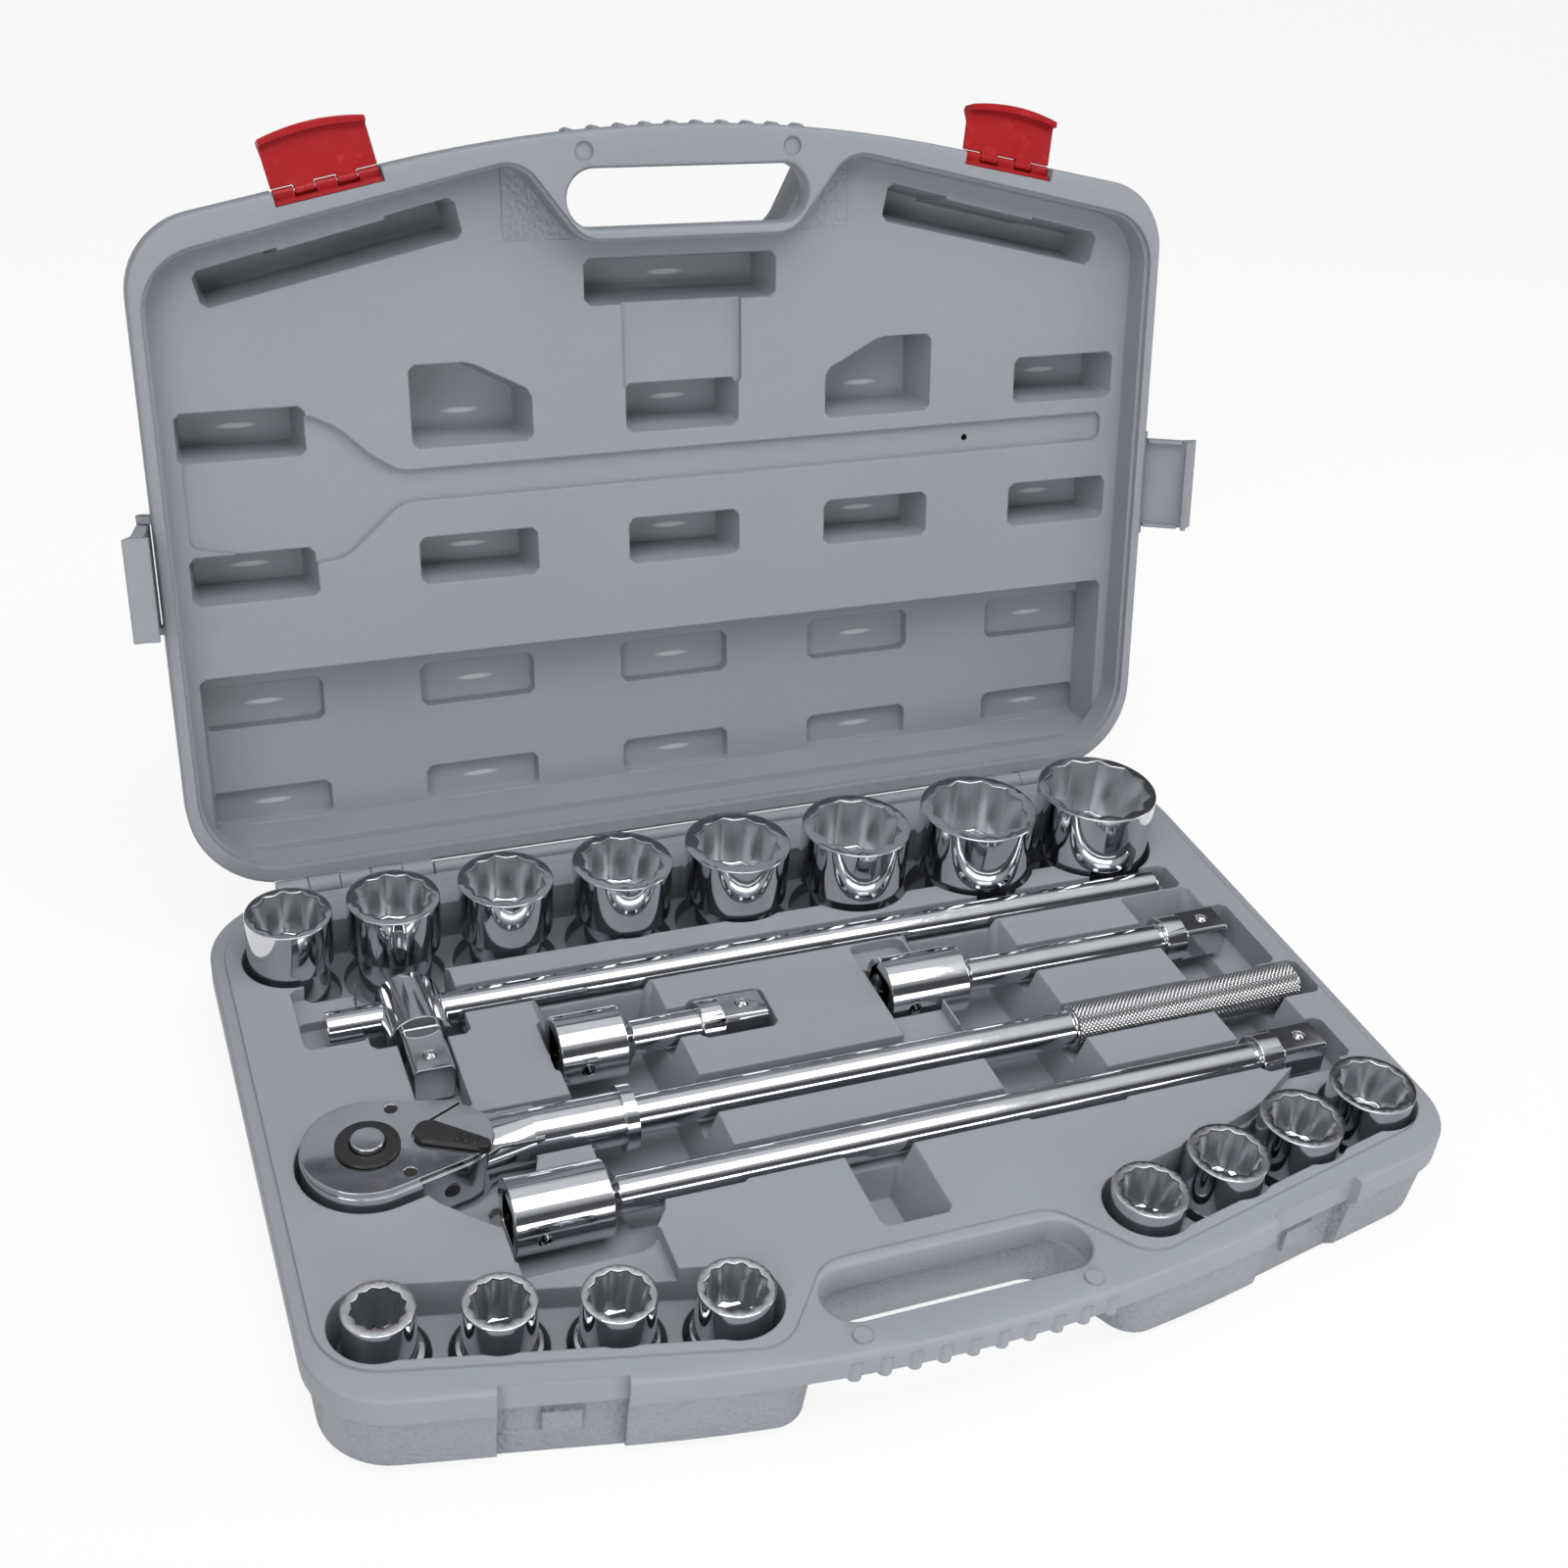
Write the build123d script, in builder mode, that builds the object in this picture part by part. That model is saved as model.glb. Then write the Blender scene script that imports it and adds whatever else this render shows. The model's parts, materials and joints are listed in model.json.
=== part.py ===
from build123d import *
import math
import os

os.makedirs("parts", exist_ok=True)

# Case. A place in it is (x, d): x across, d the distance from the hinge line towards the front.
CASE_WIDTH = 534.0
CASE_DEPTH = 367.0
HALF_HEIGHT = 48.0
LID_OPEN = 102.0
HINGE_EDGE = 4.0
BOW_RADIUS = 724.0
CHEEK_ANGLE = 11.5
FRONT_CORNER = 38.0
HINGE_CORNER = 46.0
BAND_HEIGHT = 14.0
BAND_STEP = 2.5
BAND_CHAMFER = 1.5
BODY_DRAFT = 5.0
FOOT_CHAMFER = 5.0
LAND_RISE = 1.5
CLEAR = 0.3
RUNNING_FIT = 0.05
FITTED = 0.02

# Handle: a slot through both halves, hand room behind the grip bar, ribs on its front edge
SLOT_LENGTH = 124.0
SLOT_WIDTH = 28.0
SLOT_D = 334.0
BAY_D = 316.0
BAY_HALF_BACK = 52.0
BAY_HALF_FRONT = 84.0
BAY_CORNER = 14.0
LOBE_CORNER = 18.0
RIB_COUNT = 10
RIB_PITCH = 13.0
RIB_RADIUS = 3.2
RIB_HEIGHT = 9.0
RIB_SUNK = 1.76
BOSS_X = 53.0
BOSS_D = 356.0
BOSS_RADIUS = 4.25
BOSS_HEIGHT = 1.2

# Edge of the tray, which the lid's opening goes round
TRAY_HALF = 260.5
TRAY_BACK = 13.0
TRAY_BACK_CORNER = 40.0
TRAY_HANDLE_D = 314.5
TRAY_HANDLE_HALF = 54.0
TRAY_CREST = (84.0, 353.0)
TRAY_SHOULDER_D = 313.0
TRAY_CREST_CORNER = 18.0
TRAY_SHOULDER_CORNER = 30.0

# Hinge: moulded knuckles in two zones, a steel pin in each
HINGE_ZONE_X = 188.0
KNUCKLES = 5
KNUCKLE_LENGTH = 16.0
KNUCKLE_RADIUS = 5.0
KNUCKLE_WEB = 3.0
HINGE_PIN_RADIUS = 2.0
STOP_LUG_REACH = 9.5
STOP_LUG_WIDTH = 6.4
STOP_LUG_ROOT = 3.0
STOP_LUG_TIP = 1.0

# Front latches: a leaf fixed to the lid and a flap on a pin, measured as (out from the slanting face, depth)
LATCH_X = 174.0
LATCH_WIDTH = 50.0
LATCH_PLAY = 0.5
LATCH_OUT = 3.0
LATCH_OPEN = 100.0
LATCH_PIVOT = (-1.9, 7.0)
LATCH_PIN_RADIUS = 1.2
LATCH_EYE = 2.3
LEAF_SEAT = 6.5
BASE_SEAT = 4.5
CATCH_ROOM = 10.0
LEAF_DEPTH = (1.0, 13.5)
FLAP_BEHIND = 2.0
FLAP_AHEAD = 0.5
HOOK_REACH = 7.5
HOOK_HEIGHT = 3.0
LIP_START = -9.0
LIP_OUT = (1.5, 3.0)
LIP_CURL = 1.9
LIP_HOLLOW = ((3, 17), (20, 22.3), (3, 22.3))
PLATE_SLOT = ((-5, -7.5), (5, -7.5), (5, -10.5), (-5, -10.5))
FLAP_CUT = 8.0
PAD_WIDTH = 16.0
PAD = ((-2.0, 20.0), (2.5, 22.0), (2.5, 34.0), (-2.0, 36.0))

# Side clips, measured as (out from the side, depth)
CLIP_D = 168.0
CLIP_WIDTH = 50.0
CLIP_OPEN = {-1: 12.0, 1: 52.0}
CLIP_PIVOT = (3.6, 11.0)
CLIP_PIN_RADIUS = 1.25
BARREL_EYE = 3.0
EYE_WIDTH = 3.6
CLIP_PLATE = (4.4, 6.6)
CLIP_HOOK = 3.0
CLIP_LIP = ((5.0, 3.0), (9.0, 4.6), (9.8, 3.2))
CLIP_LIP_START = -11.0
CLIP_RIB = ((0.8, -12.0), (5.0, -12.0), (5.0, 8.5), (0.8, 7.0))
CLIP_RIB_WIDTH = 2.0
EYE_WEB = ((-1.5, 6.5), (3.6, 7.8), (3.6, 14.2), (-1.5, 12.4))

# Inside of the lid, depths from the parting plane
LID_PLAY = 0.8
LID_LEDGE = 1.0
PANEL_DRAFT = 3.0
LID_RIM = 3.0
PANEL = 17.0
DEEP_PANEL = 38.5
DEEP_HALF = 253.0
DEEP_D = (19.0, 111.0)
KISS = 44.0
KISS_DRAFT = 8.0
KISS_X = (-221.0, -109.5, 0.0, 109.5, 221.0)
KISS_HALF = 30.5
KISS_ROWS = ((PANEL, 148.0, 172.5), (DEEP_PANEL, 76.0, 99.0), (DEEP_PANEL, 23.0, 42.0))
KISS_HIGH_ROW = (217.0, 242.0)
KISS_TOP = ((-50.5, 281.5), (51, 281.5), (51, 304.5), (-50.5, 304.5))
KISS_SLANTED = ((79, 217), (140, 217), (140, 258), (110, 258), (79, 242))
KISS_LONG = ((109, 317), (113, 336), (237, 306), (233, 289))
TONGUE = (174.0, 331.0)
TONGUE_SIZE = (52.0, 22.0)
TONGUE_LEAN = 13.5
SHADOW_DEPTH = 3.0
RATCHET_SHADOW = (
    (-250, 177), (-190, 164), (-176, 166), (-147, 191), (246, 193), (246, 209),
    (-147, 207), (-161, 216), (-175, 230), (-190, 238), (-250, 219),
)
HANDLE_SHADOW = ((-31.5, 238), (32, 238), (32, 288), (-31.5, 288))
PIN_MARK = (-163.0, 200.0)
PIN_MARK_RADIUS = 1.6

# Pockets in the tray, as (left, right, back, front, floor below the parting plane)
CUT_LEAD = 0.4
POCKET_CORNER = 3.0
POCKET_PLAY = 2.3
SCOOP_DRAFT = 18.0
SCOOPS = (
    (-127.0, -66.0, 118.0, 263.0, 29.0),
    (68.0, 124.0, 118.0, 263.0, 29.0),
    (196.0, 238.0, 120.0, 263.0, 23.0),
    (-22.0, 12.0, 255.0, 305.0, 27.0),
)
BACK_TROUGH = (-228.0, 206.0, 33.0, 85.0, 20.0)
FINGER_ROOMS = (
    (-235.0, -205.0, 82.0, 127.0, 6.0),
    (38.0, 67.0, 121.0, 198.0, 4.5),
    (197.0, 250.0, 141.0, 191.0, 15.4),
    (-175.0, -113.0, 275.0, 312.0, 6.0),
)
RATCHET_ROOM = ((-205, 222), (-200, 236), (-176, 260), (-160, 260), (-158, 240), (-150, 220))
RATCHET_ROOM_FLOOR = 16.0
LONG_ROOM = ((-176, 231), (-112, 231), (-106, 238), (-106, 266), (-118, 282), (-176, 282))
ROW_SHELF = ((112, 320), (112, 306), (180, 284), (216, 262), (238, 262), (238, 290))
ROW_SHELF_FLOOR = 6.0
ROW_TROUGH_FLOOR = 18.0

# Drive size that all the tools share, and the height of their axes from the parting plane
DRIVE_SQUARE = 19.05
DRIVE_CORNER = 12.2
SQUARE_FIT = 0.15
TOOL_Z = -3.0

# T-bar: rod through a head that ends in a drive square
TBAR_RADIUS = 8.0
TBAR_X = (-223.0, 224.0)
TBAR_D = 109.5
HEAD_X = -182.5
HEAD_RADIUS = 16.0
HEAD_D = (91.5, 131.0, 160.5)
TBAR_ROOM = 12.0
HEAD_ROOM = 7.5
HEAD_DOME = 6.0
TBAR_BALL_BACK = 10.0
SQUARE_ROOM = 25.0

# Extensions: barrel with a female square, shaft, collar, drive square
SHAFT_RADIUS = 8.5
BARREL_RADIUS = 17.0
COLLAR_RADIUS = 12.0
EXT_D = 154.0
LONG_D = 250.5
FEMALE_DEPTH = 25.0
BARREL_TAPER = 5.0
DETENT_X = 12.0
MOUTH_ROOM = 4.0
# (name, d, mouth of the barrel, its end, start and end of the collar, tip of the square, room past the tip)
EXTENSIONS = (
    ("short", EXT_D, -125.0, -88.0, -54.0, -43.0, -21.0, 4.0),
    ("medium", EXT_D, 42.0, 89.0, 201.0, 213.0, 237.0, 13.0),
    ("long", LONG_D, -172.0, -124.0, 198.0, 210.0, 234.0, 12.0),
)

# Detent balls in the drive squares
BALL_RADIUS = 3.0
BALL_PROUD = 1.3
BALL_TRAVEL = 1.3
BALL_BACK = 11.0

# Ratchet
RATCHET_X = -221.5
RATCHET_D = 205.0
RATCHET_TOP = 10.0
RATCHET_BELOW = 18.0
RATCHET_RADIUS = 29.0
TAIL_X = -187.0
TAIL_RADIUS = 20.5
DRIVE_REACH = 22.5
DRIVE_BALL_Z = -30.0
DRIVE_WELL = 17.0
NECK_POCKET = 17.0
GRIP_ROOM = 10.0
COVER_THICK = 3.2
COVER_INSET = 0.6
GEAR_RADIUS = 19.0
GEAR_PLAY = 0.8
GEAR_FLOOR = -12.0
PAWL_ROOM = 13.0
PAWL_ROOM_OFFSET = 3.0
GEAR_TEETH = 24
TOOTH = 1.4
SHANK_RADIUS = 14.1
SHANK_PROUD = 0.5
HUB_RADIUS = 12.0
RING_RADIUS = 14.0
RING_HEIGHT = 1.6
BUTTON_RADIUS = 7.5
BUTTON_TOP = 14.5
BUTTON_LOW = 9.0
BUTTON_WELL = 2.0
BUTTON_TRAVEL = 3.0
STEM_RADIUS = 3.0
STEM_END = -34.0
SPRING_GAP = 1.2
SPRING_WIRE = 1.8
LEVER_X = -195.0
LEVER_SWING = 68.0
LEVER_RECESS = 2.0
LEVER_BOSS = 6.5
LEVER_SHAFT = 3.6
LEVER_LENGTH = 25.0
LEVER_TIP = 3.2
LEVER_HEIGHT = 4.5
LEVER_PLAY = 0.8
PAWL_CLEAR = 1.2
PAWL_ROCK = 8.0
PAWL_SIZE = (9.5, 17.0)
SCREW_AT = (14.1, 20.2)
SCREW_RADIUS = 1.5
SCREW_HEAD = 2.8
SCREW_LENGTH = 6.0
PLUG_X = -190.0
PLUG_RADIUS = 3.5
PLUG_DEEP = 12.0
PLUG_Z = -4.0
PLUG_START = 4.0
PLUG_LENGTH = 6.5
FERRULE_X = (-150.0, -103.0)
FERRULE_RADIUS = 12.5
BEAD_RADIUS = 15.0
BEAD_LENGTH = 6.0
NECK_X = (-182.0, -166.0, -146.0)
NECK_ROOT = 19.0
NECK_HALF = 11.0
NECK_Z = -14.0
NECK_HEIGHT = 19.0
SPIGOT_LENGTH = 30.0
SPIGOT_RADIUS = 7.0
TUBE_RADIUS = 9.0
GRIP_X = (121.0, 250.0)
GRIP_RADIUS = 10.75

HINGE_Y = CASE_DEPTH / 2
BASE = Plane(origin=(0, HINGE_Y, HALF_HEIGHT), x_dir=(1, 0, 0), z_dir=(0, 0, -1))
LEAN = math.radians(LID_OPEN)
LID = Plane(origin=(0, HINGE_Y, HALF_HEIGHT), x_dir=(-1, 0, 0), z_dir=(0, math.sin(LEAN), math.cos(LEAN)))
TRAY = BASE.offset(-LAND_RISE)

CHEEK = math.radians(CHEEK_ANGLE)
CHEEK_X = BOW_RADIUS * math.sin(CHEEK)
CHEEK_D = CASE_DEPTH - BOW_RADIUS * (1 - math.cos(CHEEK))
SHOULDER_D = CHEEK_D - (CASE_WIDTH / 2 - CHEEK_X) * math.tan(CHEEK)

# Sockets: (across flats, outside at the nut end, length, x, d, height of the mouth above the parting plane)
FRONT_ROW = ((96.5, 325.0), (235.0, 294.5))
FRONT_RISE = 10.0
FRONT_LENGTH = 50.0
FRONT_SIZES = ((19, 29.8), (21, 30.8), (22, 31.4), (23, 32.6), (24, 34.9), (26, 37.6), (27, 39.2), (29, 40.8))
BACK_SOCKETS = (
    (30, 41.4, 54.0, -230.0, 57.5, 29.0),
    (32, 45.4, 55.0, -179.7, 58.0, 29.5),
    (34, 47.6, 57.0, -123.7, 58.0, 30.0),
    (36, 51.2, 58.0, -63.0, 58.0, 30.0),
    (38, 55.1, 60.0, -1.0, 58.5, 31.0),
    (41, 57.4, 63.0, 62.8, 65.0, 35.0),
    (46, 63.0, 68.0, 133.3, 67.0, 35.5),
    (50, 65.0, 72.0, 205.5, 67.5, 36.5),
)
DRIVE_END = 36.0
DRIVE_SHARE = 0.72
SHOULDER_AT = 0.5
SQUARE_DEPTH = 22.0
WEB = 4.0
WELL_PLAY = 2.6


def front_sockets():
    """The eight small sockets, four on a slanting line each side of the handle, smallest at the far left."""
    (near_x, near_d), (far_x, far_d) = FRONT_ROW
    sockets = []
    for n, (size, outside) in enumerate(FRONT_SIZES):
        step = n if n < 4 else 7 - n
        side = -1 if n < 4 else 1
        x = side * (far_x + (near_x - far_x) * step / 3)
        d = far_d + (near_d - far_d) * step / 3
        sockets.append((size, outside, FRONT_LENGTH, x, d, FRONT_RISE))
    return sockets


SOCKETS = front_sockets() + list(BACK_SOCKETS)


def ratchet_plan(plane, grow=0.0, front=1):
    """Pear-shaped plan of the ratchet head; front is -1 on a plane whose own y points to the back."""
    with BuildSketch(plane) as plan:
        with Locations((RATCHET_X, front * RATCHET_D)):
            Circle(RATCHET_RADIUS + grow)
        with Locations((TAIL_X, front * RATCHET_D)):
            Circle(TAIL_RADIUS + grow)
        make_hull()
    return plan.sketch


def case_outline(plane, inset=0.0, bay=False):
    """Face of a case half on its parting plane; bay leaves out the hand room behind the handle."""
    half = CASE_WIDTH / 2
    with BuildSketch(plane) as face:
        with BuildLine():
            Polyline(
                (-CHEEK_X, CHEEK_D),
                (-half, SHOULDER_D),
                (-half, HINGE_EDGE),
                (half, HINGE_EDGE),
                (half, SHOULDER_D),
                (CHEEK_X, CHEEK_D),
            )
            ThreePointArc((CHEEK_X, CHEEK_D), (0, CASE_DEPTH), (-CHEEK_X, CHEEK_D))
        make_face()
        corners = face.vertices().filter_by(lambda v: abs(v.X) > half - 1)
        fillet(corners.filter_by(lambda v: v.Y > half), FRONT_CORNER)
        corners = face.vertices().filter_by(lambda v: abs(v.X) > half - 1 and v.Y < HINGE_EDGE + 1)
        fillet(corners, HINGE_CORNER)
        if inset:
            offset(amount=-inset, kind=Kind.INTERSECTION)
        if bay:
            past = CASE_DEPTH + 10
            with BuildLine():
                Polyline(
                    (-BAY_HALF_FRONT, past),
                    (-BAY_HALF_BACK, BAY_D),
                    (BAY_HALF_BACK, BAY_D),
                    (BAY_HALF_FRONT, past),
                    close=True,
                )
            make_face(mode=Mode.SUBTRACT)
            fillet(face.vertices().filter_by(lambda v: abs(v.Y - BAY_D) < 0.1), BAY_CORNER)
            ahead = face.vertices().filter_by(lambda v: v.Y > SLOT_D)
            lobes = ahead.filter_by(lambda v: BAY_HALF_BACK < abs(v.X) < BAY_HALF_FRONT)
            fillet(lobes.sort_by(Axis.Y)[-2:], LOBE_CORNER)
    return face.sketch


def tray_outline(plane, grow=0.0):
    """Edge of the tray: straight sides, a slanting front and a dip behind the handle slot."""
    crest_x, crest_d = TRAY_CREST
    with BuildSketch(plane) as face:
        with BuildLine():
            right = (
                (TRAY_HANDLE_HALF, TRAY_HANDLE_D),
                (crest_x, crest_d),
                (TRAY_HALF, TRAY_SHOULDER_D),
                (TRAY_HALF, TRAY_BACK),
            )
            left = [(-x, d) for x, d in reversed(right)]
            Polyline(*right, *left, close=True)
        make_face()
        fillet(face.vertices().filter_by(lambda v: abs(abs(v.X) - TRAY_HANDLE_HALF) < 0.1), TRAY_CREST_CORNER)
        fillet(face.vertices().filter_by(lambda v: abs(v.Y - crest_d) < 0.1), TRAY_CREST_CORNER)
        fillet(face.vertices().filter_by(lambda v: abs(v.Y - TRAY_SHOULDER_D) < 0.1), TRAY_SHOULDER_CORNER)
        fillet(face.vertices().filter_by(lambda v: abs(v.Y - TRAY_BACK) < 0.1), TRAY_BACK_CORNER)
        if grow:
            offset(amount=grow, kind=Kind.INTERSECTION)
    return face.sketch


def keep(piece, name):
    """Names a finished piece and writes it out."""
    piece.part.label = name
    export_step(piece.part, f"parts/{name}.step")


def case_block(half, plane):
    """Outside of a case half: rim band with the handle bar and slot, and the drafted body set in below it."""
    extrude(case_outline(plane), amount=BAND_HEIGHT)
    with BuildSketch(plane) as slot:
        with Locations((0, SLOT_D)):
            SlotOverall(SLOT_LENGTH, SLOT_WIDTH)
    extrude(slot.sketch, amount=BAND_HEIGHT, mode=Mode.SUBTRACT)
    rims = half.faces().filter_by(lambda face: abs(face.normal_at().dot(plane.z_dir)) > 0.99)
    chamfer(rims.edges(), BAND_CHAMFER)
    with BuildSketch(plane.offset(BAND_HEIGHT - RIB_HEIGHT)) as ribs:
        with Locations(*[(x, grip_d(x)) for x in rib_places()]):
            Circle(RIB_RADIUS)
    extrude(ribs.sketch, amount=RIB_HEIGHT)
    body = case_outline(plane.offset(BAND_HEIGHT - BAND_CHAMFER), BAND_STEP, bay=True)
    extrude(body, amount=HALF_HEIGHT - BAND_HEIGHT + BAND_CHAMFER, taper=BODY_DRAFT)
    foot = half.faces().sort_by(Axis(plane.origin, plane.z_dir))[-1]
    chamfer(foot.edges(), FOOT_CHAMFER)


def rib_places():
    """Where the grip ribs stand along the handle bar."""
    return [(n - (RIB_COUNT - 1) / 2) * RIB_PITCH for n in range(RIB_COUNT)]


def grip_d(x):
    """Centre of a grip rib, just inside the bowed front edge."""
    return CASE_DEPTH - BOW_RADIUS + math.sqrt(BOW_RADIUS**2 - x**2) - RIB_SUNK


def frame(left, right, back, front):
    """The four corners of a pocket."""
    return ((left, back), (right, back), (right, front), (left, front))


def sunk(mouth, depth, draft=0.0):
    """Cutter for a pocket whose mouth lies a little above the face that it is sunk into."""
    return extrude(mouth, amount=depth + CUT_LEAD, taper=draft, mode=Mode.PRIVATE)


def mouth_plane(plane):
    """Plane that cutters start from, just above a face."""
    return plane.offset(-CUT_LEAD)


def cornered(plane, points):
    """An outline with straight sides whose corners are cut off."""
    with BuildSketch(plane) as shape:
        with BuildLine():
            Polyline(*points, close=True)
        make_face()
        chamfer(shape.vertices(), POCKET_CORNER)
    return shape.sketch


def pocket(points, floor, draft=0.0):
    """Cutter for a pocket in the tray."""
    return sunk(cornered(mouth_plane(TRAY), points), floor + LAND_RISE, draft)


def channel(left, right, d, radius, room=0.0):
    """Cutter for a lying tool's stretch of one radius; room is added at its sides."""
    half = radius + POCKET_PLAY + room
    return pocket(frame(left, right, d - half, d + half), radius - TOOL_Z + CLEAR)


def well(x, d, radius, floor):
    """Cutter for a round well in the tray."""
    with BuildSketch(mouth_plane(TRAY)) as mouth:
        with Locations((x, d)):
            Circle(radius)
    return sunk(mouth.sketch, floor + LAND_RISE)


def section(plane, x, d):
    """Plane across the hinge line at x: its own x is d, its own y the depth into the half."""
    return Plane(origin=plane.from_local_coords((x, d, 0)), x_dir=plane.y_dir, z_dir=plane.x_dir)


def hinge_zones():
    """Left end of each hinge zone."""
    width = KNUCKLES * KNUCKLE_LENGTH
    return [side * HINGE_ZONE_X - width / 2 for side in (-1, 1)]


def hinge_room(plane):
    """Clears a round channel for the knuckles of both halves."""
    width = KNUCKLES * KNUCKLE_LENGTH
    for start in hinge_zones():
        with BuildSketch(section(plane, start - CLEAR, 0)) as room:
            Circle(KNUCKLE_RADIUS + 2 * CLEAR)
        extrude(room.sketch, amount=width + 2 * CLEAR, mode=Mode.SUBTRACT)


def knuckles(plane, first):
    """Every second knuckle of each zone with its web to the half's back wall, bored for the pin."""
    wall = HINGE_EDGE + BAND_STEP
    for start in hinge_zones():
        for n in range(first, KNUCKLES, 2):
            at = section(plane, start + n * KNUCKLE_LENGTH + CLEAR / 2, 0)
            with BuildSketch(at) as knuckle:
                with BuildLine():
                    Polyline(
                        (-KNUCKLE_RADIUS, 0),
                        (-KNUCKLE_RADIUS, KNUCKLE_WEB),
                        (wall, BAND_HEIGHT - BAND_CHAMFER),
                        (wall, CLEAR),
                        (0, 0),
                        close=True,
                    )
                make_face()
                Circle(KNUCKLE_RADIUS)
                Circle(HINGE_PIN_RADIUS + RUNNING_FIT, mode=Mode.SUBTRACT)
            extrude(knuckle.sketch, amount=KNUCKLE_LENGTH - CLEAR)


def cheek_section(plane, side, along):
    """Plane across a front latch: its own x points out of the slanting face, its own y goes into the half."""
    hand = side * plane.x_dir.X
    out = plane.x_dir * (hand * math.sin(CHEEK)) + plane.y_dir * math.cos(CHEEK)
    width = plane.x_dir * math.cos(CHEEK) - plane.y_dir * (hand * math.sin(CHEEK))
    foot_d = CHEEK_D - (LATCH_X - CHEEK_X) * math.tan(CHEEK)
    foot = plane.from_local_coords(Vector(hand * LATCH_X, foot_d, 0))
    return Plane(origin=foot + width * along, x_dir=out, z_dir=width)


def side_section(plane, side, along):
    """Plane across a side clip: its own x points out of the side, its own y goes into the half."""
    hand = side * plane.x_dir.X
    out = plane.x_dir * hand
    width = plane.y_dir * -hand
    foot = plane.from_local_coords(Vector(hand * CASE_WIDTH / 2, CLIP_D, 0))
    return Plane(origin=foot + width * along, x_dir=out, z_dir=width)


def turned(plane, angle, pivot):
    """The plane moved to a pivot in it and turned about its normal."""
    swing = math.radians(angle)
    across = plane.x_dir * math.cos(swing) + plane.y_dir * math.sin(swing)
    return Plane(origin=plane.from_local_coords(Vector(*pivot, 0)), x_dir=across, z_dir=plane.z_dir)


def about(pivot, points):
    """Points of a closed latch or clip, measured from its pivot."""
    return [(out - pivot[0], deep - pivot[1]) for out, deep in points]


def slab(plane, points, amount, mode=Mode.ADD):
    """Extrudes a polygon from a plane."""
    with BuildSketch(plane) as shape:
        with BuildLine():
            Polyline(*points, close=True)
        make_face()
    extrude(shape.sketch, amount=amount, mode=mode)


def latch_seat(plane, depth):
    """Notch in the rim band for a front latch, on both sides."""
    for side in (-1, 1):
        seat = cheek_section(plane, side, -LATCH_WIDTH / 2 - LATCH_PLAY)
        notch = frame(-depth, LATCH_OUT, -LAND_RISE, BAND_HEIGHT)
        slab(seat, notch, LATCH_WIDTH + 2 * LATCH_PLAY, Mode.SUBTRACT)


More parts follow.
